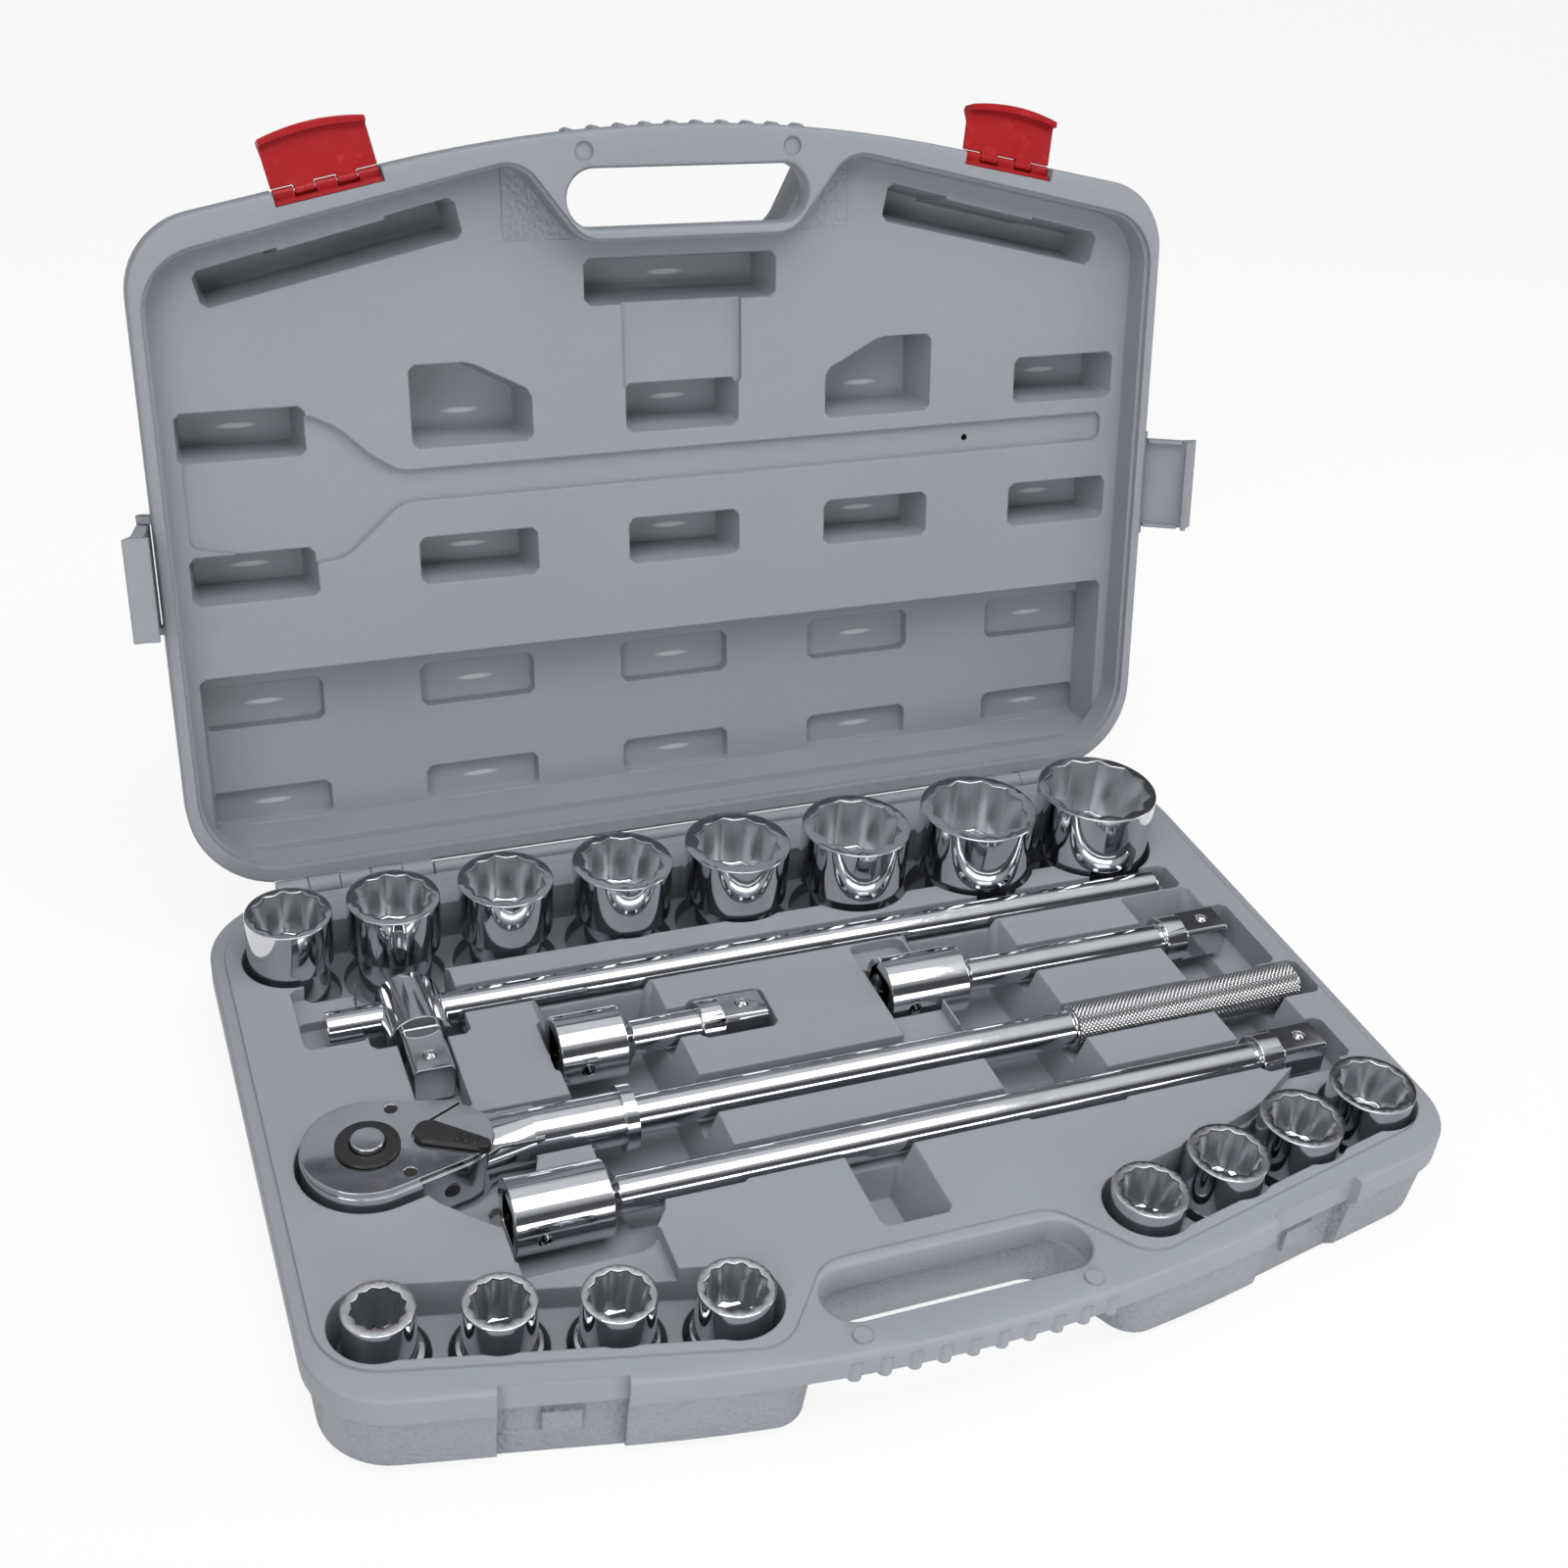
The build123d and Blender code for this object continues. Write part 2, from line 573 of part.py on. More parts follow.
with BuildPart() as case_base:
    case_block(case_base, BASE)
    extrude(tray_outline(TRAY), amount=LAND_RISE + BAND_CHAMFER)
    with BuildSketch(BASE.offset(-BOSS_HEIGHT)) as bosses:
        with Locations((-BOSS_X, BOSS_D), (BOSS_X, BOSS_D)):
            Circle(BOSS_RADIUS)
    extrude(bosses.sketch, amount=BOSS_HEIGHT * 2)

    # Scoops for the fingers across the long tools, the trough of the back row, and finger rooms
    cuts = [pocket(frame(*sides), floor, SCOOP_DRAFT) for *sides, floor in SCOOPS]
    cuts += [pocket(frame(*sides), floor) for *sides, floor in (BACK_TROUGH, *FINGER_ROOMS)]

    # T-bar: a channel for its rod, a pocket for its head and one for its drive square
    rod_left, rod_right = TBAR_X
    head_back, head_front, head_tip = HEAD_D
    cuts.append(channel(rod_left - TBAR_ROOM, rod_right + TBAR_ROOM, TBAR_D, TBAR_RADIUS))
    half = HEAD_RADIUS + HEAD_ROOM
    head_frame = frame(HEAD_X - half, HEAD_X + half, head_back - HEAD_ROOM, head_front + HEAD_ROOM / 2)
    cuts.append(pocket(head_frame, HEAD_RADIUS - TOOL_Z + CLEAR))
    half = DRIVE_SQUARE / 2 + POCKET_PLAY
    square_frame = frame(HEAD_X - half, HEAD_X + half, head_front, head_tip + SQUARE_ROOM)
    cuts.append(pocket(square_frame, DRIVE_SQUARE / 2 - TOOL_Z + BALL_PROUD + CLEAR))

    # Extensions: barrel, shaft and collar
    for name, d, mouth, barrel_end, collar_start, collar_end, tip, room in EXTENSIONS:
        cuts.append(channel(mouth - MOUTH_ROOM, barrel_end + POCKET_PLAY, d, BARREL_RADIUS))
        cuts.append(channel(barrel_end, tip + room, d, SHAFT_RADIUS))
        cuts.append(channel(collar_start - POCKET_PLAY, tip + room, d, COLLAR_RADIUS, CLEAR))
    cuts.append(pocket(LONG_ROOM, BARREL_RADIUS - TOOL_Z + CLEAR))

    # Ratchet: head with a well for its drive square, neck, handle, room for the lever
    head_plan = ratchet_plan(mouth_plane(TRAY), POCKET_PLAY)
    cuts.append(sunk(head_plan, RATCHET_BELOW + CLEAR + LAND_RISE))
    cuts.append(well(RATCHET_X, RATCHET_D, DRIVE_WELL, RATCHET_BELOW + DRIVE_REACH + CLEAR))
    neck = frame(TAIL_X, FERRULE_X[1] + POCKET_PLAY, RATCHET_D - NECK_POCKET, RATCHET_D + NECK_POCKET)
    cuts.append(pocket(neck, RATCHET_BELOW + CLEAR))
    cuts.append(channel(FERRULE_X[1], GRIP_X[1] + GRIP_ROOM, RATCHET_D, GRIP_RADIUS))
    cuts.append(pocket(RATCHET_ROOM, RATCHET_ROOM_FLOOR))

    # Front rows: a shelf and a trough on each side, and a well for every socket
    (near_x, near_d), (far_x, far_d) = FRONT_ROW
    row_length = math.hypot(far_x - near_x, near_d - far_d)
    row_angle = math.degrees(math.atan2(near_d - far_d, far_x - near_x))
    cuts.append(pocket(ROW_SHELF, ROW_SHELF_FLOOR))
    for side in (-1, 1):
        with BuildSketch(mouth_plane(TRAY)) as trough:
            with Locations((side * (near_x + far_x) / 2, (near_d + far_d) / 2)):
                SlotCenterToCenter(row_length, DRIVE_END + WELL_PLAY, rotation=-side * row_angle)
        cuts.append(sunk(trough.sketch, ROW_TROUGH_FLOOR + LAND_RISE))
    for size, outside, length, x, d, rise in SOCKETS:
        cuts.append(well(x, d, max(outside, DRIVE_END) / 2 + WELL_PLAY, length - rise + CLEAR))
    add(cuts, mode=Mode.SUBTRACT)

    # Latch seats: a notch in the band, a catch room below it with a small pad
    latch_seat(BASE, BASE_SEAT)
    for side in (-1, 1):
        seat = cheek_section(BASE, side, -LATCH_WIDTH / 2 - LATCH_PLAY)
        catch = frame(-CATCH_ROOM, LATCH_OUT, BAND_HEIGHT, HALF_HEIGHT + 1)
        slab(seat, catch, LATCH_WIDTH + 2 * LATCH_PLAY, Mode.SUBTRACT)
        pad = cheek_section(BASE, side, -PAD_WIDTH / 2)
        slab(pad, [(out - CATCH_ROOM, deep) for out, deep in PAD], PAD_WIDTH)

    hinge_room(BASE)
    knuckles(BASE, 0)

keep(case_base, "case_base")


def hollow(points, level, floor, draft=KISS_DRAFT):
    """Cutter for a pocket in the lid's inner skin, from a panel at one depth to a floor at another."""
    mouth = cornered(mouth_plane(LID.offset(level)), [(-x, d) for x, d in points])
    return sunk(mouth, floor - level, draft)


with BuildPart() as case_lid:
    case_block(case_lid, LID)

    # Inner skin: a rim step, the main panel, and the deep zone over the tall sockets
    cuts = [
        sunk(tray_outline(mouth_plane(LID), LID_PLAY), LID_RIM),
        sunk(tray_outline(mouth_plane(LID), -LID_LEDGE), PANEL, PANEL_DRAFT),
        hollow(frame(-DEEP_HALF, DEEP_HALF, *DEEP_D), PANEL, DEEP_PANEL),
    ]

    # Shallow shapes in the main panel: room over the ratchet and a channel behind the handle
    cuts.append(hollow(RATCHET_SHADOW, PANEL, PANEL + SHADOW_DEPTH, 0))
    cuts.append(hollow(HANDLE_SHADOW, PANEL, PANEL + SHADOW_DEPTH, 0))
    with BuildSketch(mouth_plane(LID.offset(PANEL + SHADOW_DEPTH))) as pin_mark:
        with Locations(PIN_MARK):
            Circle(PIN_MARK_RADIUS)
    cuts.append(sunk(pin_mark.sketch, SHADOW_DEPTH))

    # Kiss-off pockets, where the inner skin reaches the outer one
    for x in KISS_X:
        for level, back, front in KISS_ROWS:
            cuts.append(hollow(frame(x - KISS_HALF, x + KISS_HALF, back, front), level, KISS))
    for x in KISS_X[::2]:
        cuts.append(hollow(frame(x - KISS_HALF, x + KISS_HALF, *KISS_HIGH_ROW), PANEL, KISS))
    cuts.append(hollow(KISS_TOP, PANEL, KISS))
    for side in (-1, 1):
        cuts.append(hollow([(side * x, d) for x, d in KISS_SLANTED], PANEL, KISS))
        long_mouth = mouth_plane(LID.offset(PANEL))
        with BuildSketch(long_mouth) as long_pocket:
            add(cornered(Plane.XY, [(side * x, d) for x, d in KISS_LONG]))
            with Locations((side * TONGUE[0], TONGUE[1])):
                Rectangle(*TONGUE_SIZE, rotation=-side * TONGUE_LEAN, mode=Mode.SUBTRACT)
        cuts.append(sunk(long_pocket.sketch, KISS - PANEL, KISS_DRAFT))
    add(cuts, mode=Mode.SUBTRACT)

    with BuildSketch(LID) as dimples:
        with Locations((-BOSS_X, BOSS_D), (BOSS_X, BOSS_D)):
            Circle(BOSS_RADIUS + CLEAR)
    extrude(dimples.sketch, amount=BOSS_HEIGHT + CLEAR, mode=Mode.SUBTRACT)

    latch_seat(LID, LEAF_SEAT)

    # Eyes for the side clips' pins
    for side in (-1, 1):
        for start in (-CLIP_WIDTH / 2 - EYE_WIDTH - CLEAR, CLIP_WIDTH / 2 + CLEAR):
            at = side_section(LID, side, start)
            with BuildSketch(at) as eye:
                with BuildLine():
                    Polyline(*EYE_WEB, close=True)
                make_face()
                with Locations(CLIP_PIVOT):
                    Circle(BARREL_EYE)
                    Circle(CLIP_PIN_RADIUS + RUNNING_FIT, mode=Mode.SUBTRACT)
            extrude(eye.sketch, amount=EYE_WIDTH)

    # Knuckles, with lugs that stop the open lid on the base's back wall
    hinge_room(LID)
    knuckles(LID, 1)
    reach = HINGE_EDGE - CLEAR
    lug_profile = (
        (-STOP_LUG_ROOT, STOP_LUG_ROOT),
        (reach, HINGE_EDGE),
        (reach, STOP_LUG_REACH),
        (-STOP_LUG_TIP, STOP_LUG_REACH),
    )
    for start in hinge_zones():
        for n in range(1, KNUCKLES, 2):
            middle = start + (n + 0.5) * KNUCKLE_LENGTH
            slab(section(BASE, middle - STOP_LUG_WIDTH / 2, 0), lug_profile, STOP_LUG_WIDTH)

keep(case_lid, "case_lid")

with BuildPart() as hinge_pins:
    for start in hinge_zones():
        with BuildSketch(section(BASE, start, 0)) as end:
            Circle(HINGE_PIN_RADIUS)
        extrude(end.sketch, amount=KNUCKLES * KNUCKLE_LENGTH)

keep(hinge_pins, "hinge_pins")

LATCH_KNUCKLE = LATCH_WIDTH / 5
HANDS = {"left": -1, "right": 1}

for hand, side in HANDS.items():
    with BuildPart() as latch_leaf:
        plate = cheek_section(LID, side, -LATCH_WIDTH / 2)
        inner = FITTED - LEAF_SEAT
        outer = LATCH_PIVOT[0] - LATCH_EYE - CLEAR
        slab(plate, frame(inner, outer, *LEAF_DEPTH), LATCH_WIDTH)
        for n in (0, 2, 4):
            at = cheek_section(LID, side, -LATCH_WIDTH / 2 + n * LATCH_KNUCKLE)
            with BuildSketch(turned(at, 0, LATCH_PIVOT)) as eye:
                with Locations((outer - LATCH_PIVOT[0], 0)):
                    Rectangle(LATCH_EYE * 2, LATCH_EYE * 2)
                Circle(LATCH_EYE)
                Circle(LATCH_PIN_RADIUS + RUNNING_FIT, mode=Mode.SUBTRACT)
                with Locations((inner - LATCH_PIVOT[0], 0)):
                    behind = (Align.MAX, Align.CENTER)
                    Rectangle(2 * (outer - inner), LATCH_EYE * 3, align=behind, mode=Mode.SUBTRACT)
            extrude(eye.sketch, amount=LATCH_KNUCKLE - CLEAR)
    keep(latch_leaf, f"latch_leaf_{hand}")

    with BuildPart() as latch_flap:
        inner_face = LATCH_PIVOT[0] - FLAP_BEHIND
        outer_face = LATCH_PIVOT[0] + FLAP_AHEAD
        top = LATCH_PIVOT[1] - LATCH_EYE - CLEAR
        catch = -BAND_HEIGHT - CLEAR
        lip = catch - HOOK_HEIGHT
        profile = (
            (inner_face, top),
            (inner_face, catch),
            (-HOOK_REACH, catch),
            (-HOOK_REACH, lip),
            (LIP_OUT[0], lip),
            (LIP_OUT[1], lip + LIP_CURL),
            (outer_face, LIP_START),
            (outer_face, top),
        )
        at = turned(cheek_section(LID, side, -LATCH_WIDTH / 2), LATCH_OPEN, LATCH_PIVOT)
        slab(at, about(LATCH_PIVOT, profile), LATCH_WIDTH)
        for n in (1, 3):
            at = cheek_section(LID, side, -LATCH_WIDTH / 2 + n * LATCH_KNUCKLE + CLEAR / 2)
            with BuildSketch(turned(at, LATCH_OPEN, LATCH_PIVOT)) as eye:
                with BuildLine():
                    web = frame(inner_face, outer_face, top - CLEAR, LATCH_PIVOT[1])
                    Polyline(*about(LATCH_PIVOT, web), close=True)
                make_face()
                Circle(LATCH_EYE)
                Circle(LATCH_PIN_RADIUS + RUNNING_FIT, mode=Mode.SUBTRACT)
            extrude(eye.sketch, amount=LATCH_KNUCKLE - 2 * CLEAR)
        # Two three-cornered hollows in the finger lip, and a slot through the plate
        swung = turned(cheek_section(LID, side, 0), LATCH_OPEN, LATCH_PIVOT)
        face = Plane(origin=swung.origin, x_dir=swung.z_dir, z_dir=swung.x_dir)
        face = face.offset(outer_face - LATCH_PIVOT[0])
        for way in (-1, 1):
            corners = [(way * across, -way_down) for across, way_down in LIP_HOLLOW]
            slab(face, corners, FLAP_CUT, Mode.SUBTRACT)
        slab(face.offset(-FLAP_CUT / 2), PLATE_SLOT, FLAP_CUT, Mode.SUBTRACT)
    keep(latch_flap, f"latch_flap_{hand}")

with BuildPart() as latch_pins:
    for side in HANDS.values():
        with BuildSketch(turned(cheek_section(LID, side, -LATCH_WIDTH / 2), 0, LATCH_PIVOT)) as end:
            Circle(LATCH_PIN_RADIUS)
        extrude(end.sketch, amount=LATCH_WIDTH - CLEAR)

keep(latch_pins, "latch_pins")

for hand, side in HANDS.items():
    with BuildPart() as side_clip:
        swing = CLIP_OPEN[side]
        catch = -BAND_HEIGHT - CLEAR
        profile = (
            (CLIP_PLATE[0], CLIP_PIVOT[1]),
            (CLIP_PLATE[0], catch),
            (CLEAR - BAND_STEP, catch),
            (CLEAR - BAND_STEP, catch - CLIP_HOOK),
            *[(out, catch - down) for out, down in CLIP_LIP],
            (CLIP_PLATE[1], CLIP_LIP_START),
            (CLIP_PLATE[1], CLIP_PIVOT[1]),
        )
        at = turned(side_section(LID, side, -CLIP_WIDTH / 2), swing, CLIP_PIVOT)
        slab(at, about(CLIP_PIVOT, profile), CLIP_WIDTH)
        with BuildSketch(at) as barrel:
            Circle(BARREL_EYE)
        extrude(barrel.sketch, amount=CLIP_WIDTH)
        for start in (-CLIP_WIDTH / 2, CLIP_WIDTH / 2 - CLIP_RIB_WIDTH):
            at = turned(side_section(LID, side, start), swing, CLIP_PIVOT)
            slab(at, about(CLIP_PIVOT, CLIP_RIB), CLIP_RIB_WIDTH)
        with BuildSketch(turned(side_section(LID, side, -CLIP_WIDTH / 2), 0, CLIP_PIVOT)) as bore:
            Circle(CLIP_PIN_RADIUS + RUNNING_FIT)
        extrude(bore.sketch, amount=CLIP_WIDTH, mode=Mode.SUBTRACT)
    keep(side_clip, f"side_clip_{hand}")

with BuildPart() as clip_pins:
    pin_length = CLIP_WIDTH + 2 * (EYE_WIDTH + CLEAR)
    for side in HANDS.values():
        with BuildSketch(turned(side_section(LID, side, -pin_length / 2), 0, CLIP_PIVOT)) as end:
            Circle(CLIP_PIN_RADIUS)
        extrude(end.sketch, amount=pin_length)

keep(clip_pins, "clip_pins")


def upright(x, d, z):
    """Plane at a place in the case, z up from the parting plane."""
    return Plane(origin=(x, HINGE_Y - d, HALF_HEIGHT + z))


def turn_profile(plane, points, mode=Mode.ADD):
    """Revolves a profile of (radius, height) points about the plane's normal."""
    side = Plane(origin=plane.origin, x_dir=plane.x_dir, z_dir=-plane.y_dir)
    with BuildSketch(side) as profile:
        with BuildLine():
            Polyline(*points, close=True)
        make_face()
    revolve(profile.sketch, axis=Axis(plane.origin, plane.z_dir), mode=mode)


def square_face(plane, across):
    """Drive square with rounded corners."""
    with BuildSketch(plane) as square:
        Circle(DRIVE_CORNER * across / DRIVE_SQUARE)
        Rectangle(across, across, mode=Mode.INTERSECT)
    return square.sketch


for size, outside, length, x, d, rise in SOCKETS:
    seat = upright(x, d, rise - length)
    nut = outside / 2
    drive = max(DRIVE_END, outside * DRIVE_SHARE) / 2
    shoulder = length * SHOULDER_AT
    floor = max(SQUARE_DEPTH + WEB, shoulder + WEB / 2)
    with BuildPart() as socket:
        wall = ((drive, 0), (drive, shoulder), (nut, shoulder), (nut, length))
        turn_profile(seat, ((0, 0), *wall, (0, length)))
        # Twelve points: two hexagons, and below them the drive square
        with BuildSketch(seat.offset(floor)) as points:
            RegularPolygon(size / 2, 6, major_radius=False)
            RegularPolygon(size / 2, 6, major_radius=False, rotation=30)
        extrude(points.sketch, amount=length - floor, mode=Mode.SUBTRACT)
        with BuildSketch(seat) as square:
            Rectangle(DRIVE_SQUARE + 2 * SQUARE_FIT, DRIVE_SQUARE + 2 * SQUARE_FIT)
        extrude(square.sketch, amount=floor, mode=Mode.SUBTRACT)
    keep(socket, f"socket_{size}mm")


def along(x, d, z=TOOL_Z):
    """Plane at a place in the case that looks along +x; its own x points to the front, its own y up."""
    return Plane(origin=(x, HINGE_Y - d, HALF_HEIGHT + z), x_dir=(0, 1, 0), z_dir=(1, 0, 0))


def facing_front(x, d, z):
    """Plane at a place in the case that faces the front."""
    return Plane(origin=(x, HINGE_Y - d, HALF_HEIGHT + z), x_dir=(1, 0, 0), z_dir=(0, -1, 0))


def ball_seat(plane, across):
    """Bore for a detent ball in the face of a drive square that the plane's normal points out of."""
    with BuildSketch(plane) as bore:
        Circle(BALL_RADIUS + RUNNING_FIT)
    extrude(bore.sketch, amount=across, mode=Mode.SUBTRACT)


def ball_at(plane):
    """Detent ball that stands a little out of its face, turned from an eight-sided profile."""
    flat = BALL_RADIUS * math.tan(math.pi / 8)
    low, high = -BALL_RADIUS, BALL_RADIUS
    turn_profile(plane, ((0, low), (flat, low), (high, -flat), (high, flat), (flat, high), (0, high)))


BALL_HEIGHT = DRIVE_SQUARE / 2 + BALL_PROUD - BALL_RADIUS
SEAT_FLOOR = BALL_HEIGHT - BALL_RADIUS - BALL_TRAVEL - CLEAR

with BuildPart() as tbar_rod:
    left, right = TBAR_X
    with BuildSketch(along(left, TBAR_D)) as rod_end:
        Circle(TBAR_RADIUS)
    extrude(rod_end.sketch, amount=right - left)

keep(tbar_rod, "tbar_rod")

HEAD_BACK, HEAD_FRONT, HEAD_TIP = HEAD_D
TBAR_BALL_D = HEAD_TIP - TBAR_BALL_BACK

with BuildPart() as tbar_head:
    rear = facing_front(HEAD_X, HEAD_BACK, TOOL_Z)
    barrel = HEAD_FRONT - HEAD_BACK
    turn_profile(
        rear,
        ((0, 0), (HEAD_RADIUS - HEAD_DOME, 0), (HEAD_RADIUS, HEAD_DOME), (HEAD_RADIUS, barrel), (0, barrel)),
    )
    extrude(square_face(rear.offset(barrel), DRIVE_SQUARE), amount=HEAD_TIP - HEAD_FRONT)
    with BuildSketch(along(HEAD_X - HEAD_RADIUS, TBAR_D)) as bore:
        Circle(TBAR_RADIUS + RUNNING_FIT)
    extrude(bore.sketch, amount=2 * HEAD_RADIUS, mode=Mode.SUBTRACT)
    ball_seat(upright(HEAD_X, TBAR_BALL_D, TOOL_Z + SEAT_FLOOR), DRIVE_SQUARE)

keep(tbar_head, "tbar_head")

with BuildPart() as tbar_ball:
    ball_at(upright(HEAD_X, TBAR_BALL_D, TOOL_Z + BALL_HEIGHT))

keep(tbar_ball, "tbar_ball")

for name, d, start, barrel_end, collar_start, collar_end, tip, room in EXTENSIONS:
    ball_x = tip - BALL_BACK
    with BuildPart() as extension:
        mouth = along(start, d)
        turn_profile(
            mouth,
            (
                (0, 0),
                (BARREL_RADIUS, 0),
                (BARREL_RADIUS, barrel_end - start - BARREL_TAPER),
                (SHAFT_RADIUS, barrel_end - start),
                (SHAFT_RADIUS, collar_start - start),
                (COLLAR_RADIUS, collar_start - start),
                (COLLAR_RADIUS, collar_end - start),
                (0, collar_end - start),
            ),
        )
        extrude(square_face(along(collar_end, d), DRIVE_SQUARE), amount=tip - collar_end)
        extrude(square_face(mouth, DRIVE_SQUARE + 2 * SQUARE_FIT), amount=FEMALE_DEPTH, mode=Mode.SUBTRACT)
        with BuildSketch(facing_front(start + DETENT_X, d, TOOL_Z)) as detent_hole:
            Circle(BALL_RADIUS)
        extrude(detent_hole.sketch, amount=BARREL_RADIUS + 1, mode=Mode.SUBTRACT)
        ball_seat(upright(ball_x, d, TOOL_Z + SEAT_FLOOR), DRIVE_SQUARE)
    keep(extension, f"{name}_extension")

    with BuildPart() as extension_ball:
        ball_at(upright(ball_x, d, TOOL_Z + BALL_HEIGHT))
    keep(extension_ball, f"{name}_extension_ball")

COVER_Z = RATCHET_TOP - COVER_THICK


def screw_place(way, z):
    """Plane at one of the two cover screws."""
    return upright(RATCHET_X + SCREW_AT[0], RATCHET_D + way * SCREW_AT[1], z)


with BuildPart() as ratchet_body:
    extrude(ratchet_plan(upright(0, 0, -RATCHET_BELOW), 0, -1), amount=RATCHET_BELOW + COVER_Z)
    # Neck and ferrule
    with BuildSketch(upright(0, RATCHET_D, NECK_Z)) as neck_plan:
        with BuildLine():
            upper = ((NECK_X[0], NECK_ROOT), (NECK_X[1], NECK_HALF), (NECK_X[2], NECK_HALF))
            Polyline(*upper, *[(x, -y) for x, y in reversed(upper)], close=True)
        make_face()
    extrude(neck_plan.sketch, amount=NECK_HEIGHT)
    ferrule = along(FERRULE_X[0], RATCHET_D)
    ferrule_length = FERRULE_X[1] - FERRULE_X[0]
    turn_profile(
        ferrule,
        (
            (0, 0),
            (FERRULE_RADIUS, 0),
            (FERRULE_RADIUS, ferrule_length - BEAD_LENGTH),
            (BEAD_RADIUS, ferrule_length - BEAD_LENGTH),
            (BEAD_RADIUS, ferrule_length),
            (0, ferrule_length),
        ),
    )
    with BuildSketch(along(FERRULE_X[1] - SPIGOT_LENGTH, RATCHET_D)) as socket_bore:
        Circle(SPIGOT_RADIUS + FITTED)
    extrude(socket_bore.sketch, amount=SPIGOT_LENGTH, mode=Mode.SUBTRACT)
    # Gear chamber, pawl chamber, hole for the drive, hole for the plug
    with BuildSketch(upright(0, 0, GEAR_FLOOR)) as chamber:
        with Locations((RATCHET_X, -RATCHET_D)):
            Circle(GEAR_RADIUS + GEAR_PLAY)
        with Locations((LEVER_X + PAWL_ROOM_OFFSET, -RATCHET_D)):
            Circle(PAWL_ROOM)
    extrude(chamber.sketch, amount=COVER_Z - GEAR_FLOOR, mode=Mode.SUBTRACT)
    with BuildSketch(upright(RATCHET_X, RATCHET_D, GEAR_FLOOR)) as drive_hole:
        Circle(SHANK_RADIUS + RUNNING_FIT)
    extrude(drive_hole.sketch, amount=-RATCHET_BELOW, mode=Mode.SUBTRACT)
    plug_way = facing_front(PLUG_X, RATCHET_D + PLUG_DEEP, PLUG_Z)
    with BuildSketch(plug_way) as plug_bore:
        Circle(PLUG_RADIUS + FITTED)
    extrude(plug_bore.sketch, amount=RATCHET_RADIUS - PLUG_DEEP, mode=Mode.SUBTRACT)
    for way in (-1, 1):
        with BuildSketch(screw_place(way, COVER_Z)) as screw_bore:
            Circle(SCREW_RADIUS + FITTED)
        extrude(screw_bore.sketch, amount=-SCREW_LENGTH - CLEAR, mode=Mode.SUBTRACT)

keep(ratchet_body, "ratchet_body")

with BuildPart() as ratchet_handle:
    turn_profile(
        along(FERRULE_X[1] - SPIGOT_LENGTH + CLEAR, RATCHET_D),
        [
            (radius, x - FERRULE_X[1] + SPIGOT_LENGTH - CLEAR)
            for radius, x in (
                (0, FERRULE_X[1] - SPIGOT_LENGTH + CLEAR),
                (SPIGOT_RADIUS, FERRULE_X[1] - SPIGOT_LENGTH + CLEAR),
                (SPIGOT_RADIUS, FERRULE_X[1] + FITTED),
                (TUBE_RADIUS, FERRULE_X[1] + FITTED),
                (TUBE_RADIUS, GRIP_X[0]),
                (GRIP_RADIUS, GRIP_X[0]),
                (GRIP_RADIUS, GRIP_X[1]),
                (0, GRIP_X[1]),
            )
        ],
    )

keep(ratchet_handle, "ratchet_handle")

with BuildPart() as ratchet_cover:
    extrude(ratchet_plan(upright(0, 0, COVER_Z + FITTED), -COVER_INSET, -1), amount=COVER_THICK - FITTED)
    with BuildSketch(upright(RATCHET_X, RATCHET_D, COVER_Z)) as cap_hole:
        Circle(HUB_RADIUS + CLEAR)
    extrude(cap_hole.sketch, amount=COVER_THICK, mode=Mode.SUBTRACT)
    with BuildSketch(upright(LEVER_X, RATCHET_D, COVER_Z)) as shaft_hole:
        Circle(LEVER_SHAFT + RUNNING_FIT)
    extrude(shaft_hole.sketch, amount=COVER_THICK, mode=Mode.SUBTRACT)
    # Fan-shaped recess that the lever swings in
    with BuildSketch(upright(LEVER_X, RATCHET_D, RATCHET_TOP - LEVER_RECESS)) as fan_plan:
        Circle(LEVER_BOSS + LEVER_PLAY)
        with PolarLocations(LEVER_LENGTH, 5, -LEVER_SWING / 2, LEVER_SWING, endpoint=True):
            Circle(LEVER_TIP + LEVER_PLAY)
        make_hull()
    extrude(fan_plan.sketch, amount=LEVER_RECESS, mode=Mode.SUBTRACT)
    for way in (-1, 1):
        with BuildSketch(screw_place(way, COVER_Z)) as screw_hole:
            Circle(SCREW_HEAD + FITTED)
        extrude(screw_hole.sketch, amount=COVER_THICK, mode=Mode.SUBTRACT)

keep(ratchet_cover, "ratchet_cover")

with BuildPart() as cover_screws:
    for way in (-1, 1):
        with BuildSketch(screw_place(way, COVER_Z - SCREW_LENGTH)) as screw_shank:
            Circle(SCREW_RADIUS)
        extrude(screw_shank.sketch, amount=SCREW_LENGTH + FITTED)
        with BuildSketch(screw_place(way, COVER_Z + FITTED)) as screw_head:
            Circle(SCREW_HEAD)
        extrude(screw_head.sketch, amount=COVER_THICK - 2 * CLEAR)

keep(cover_screws, "cover_screws")

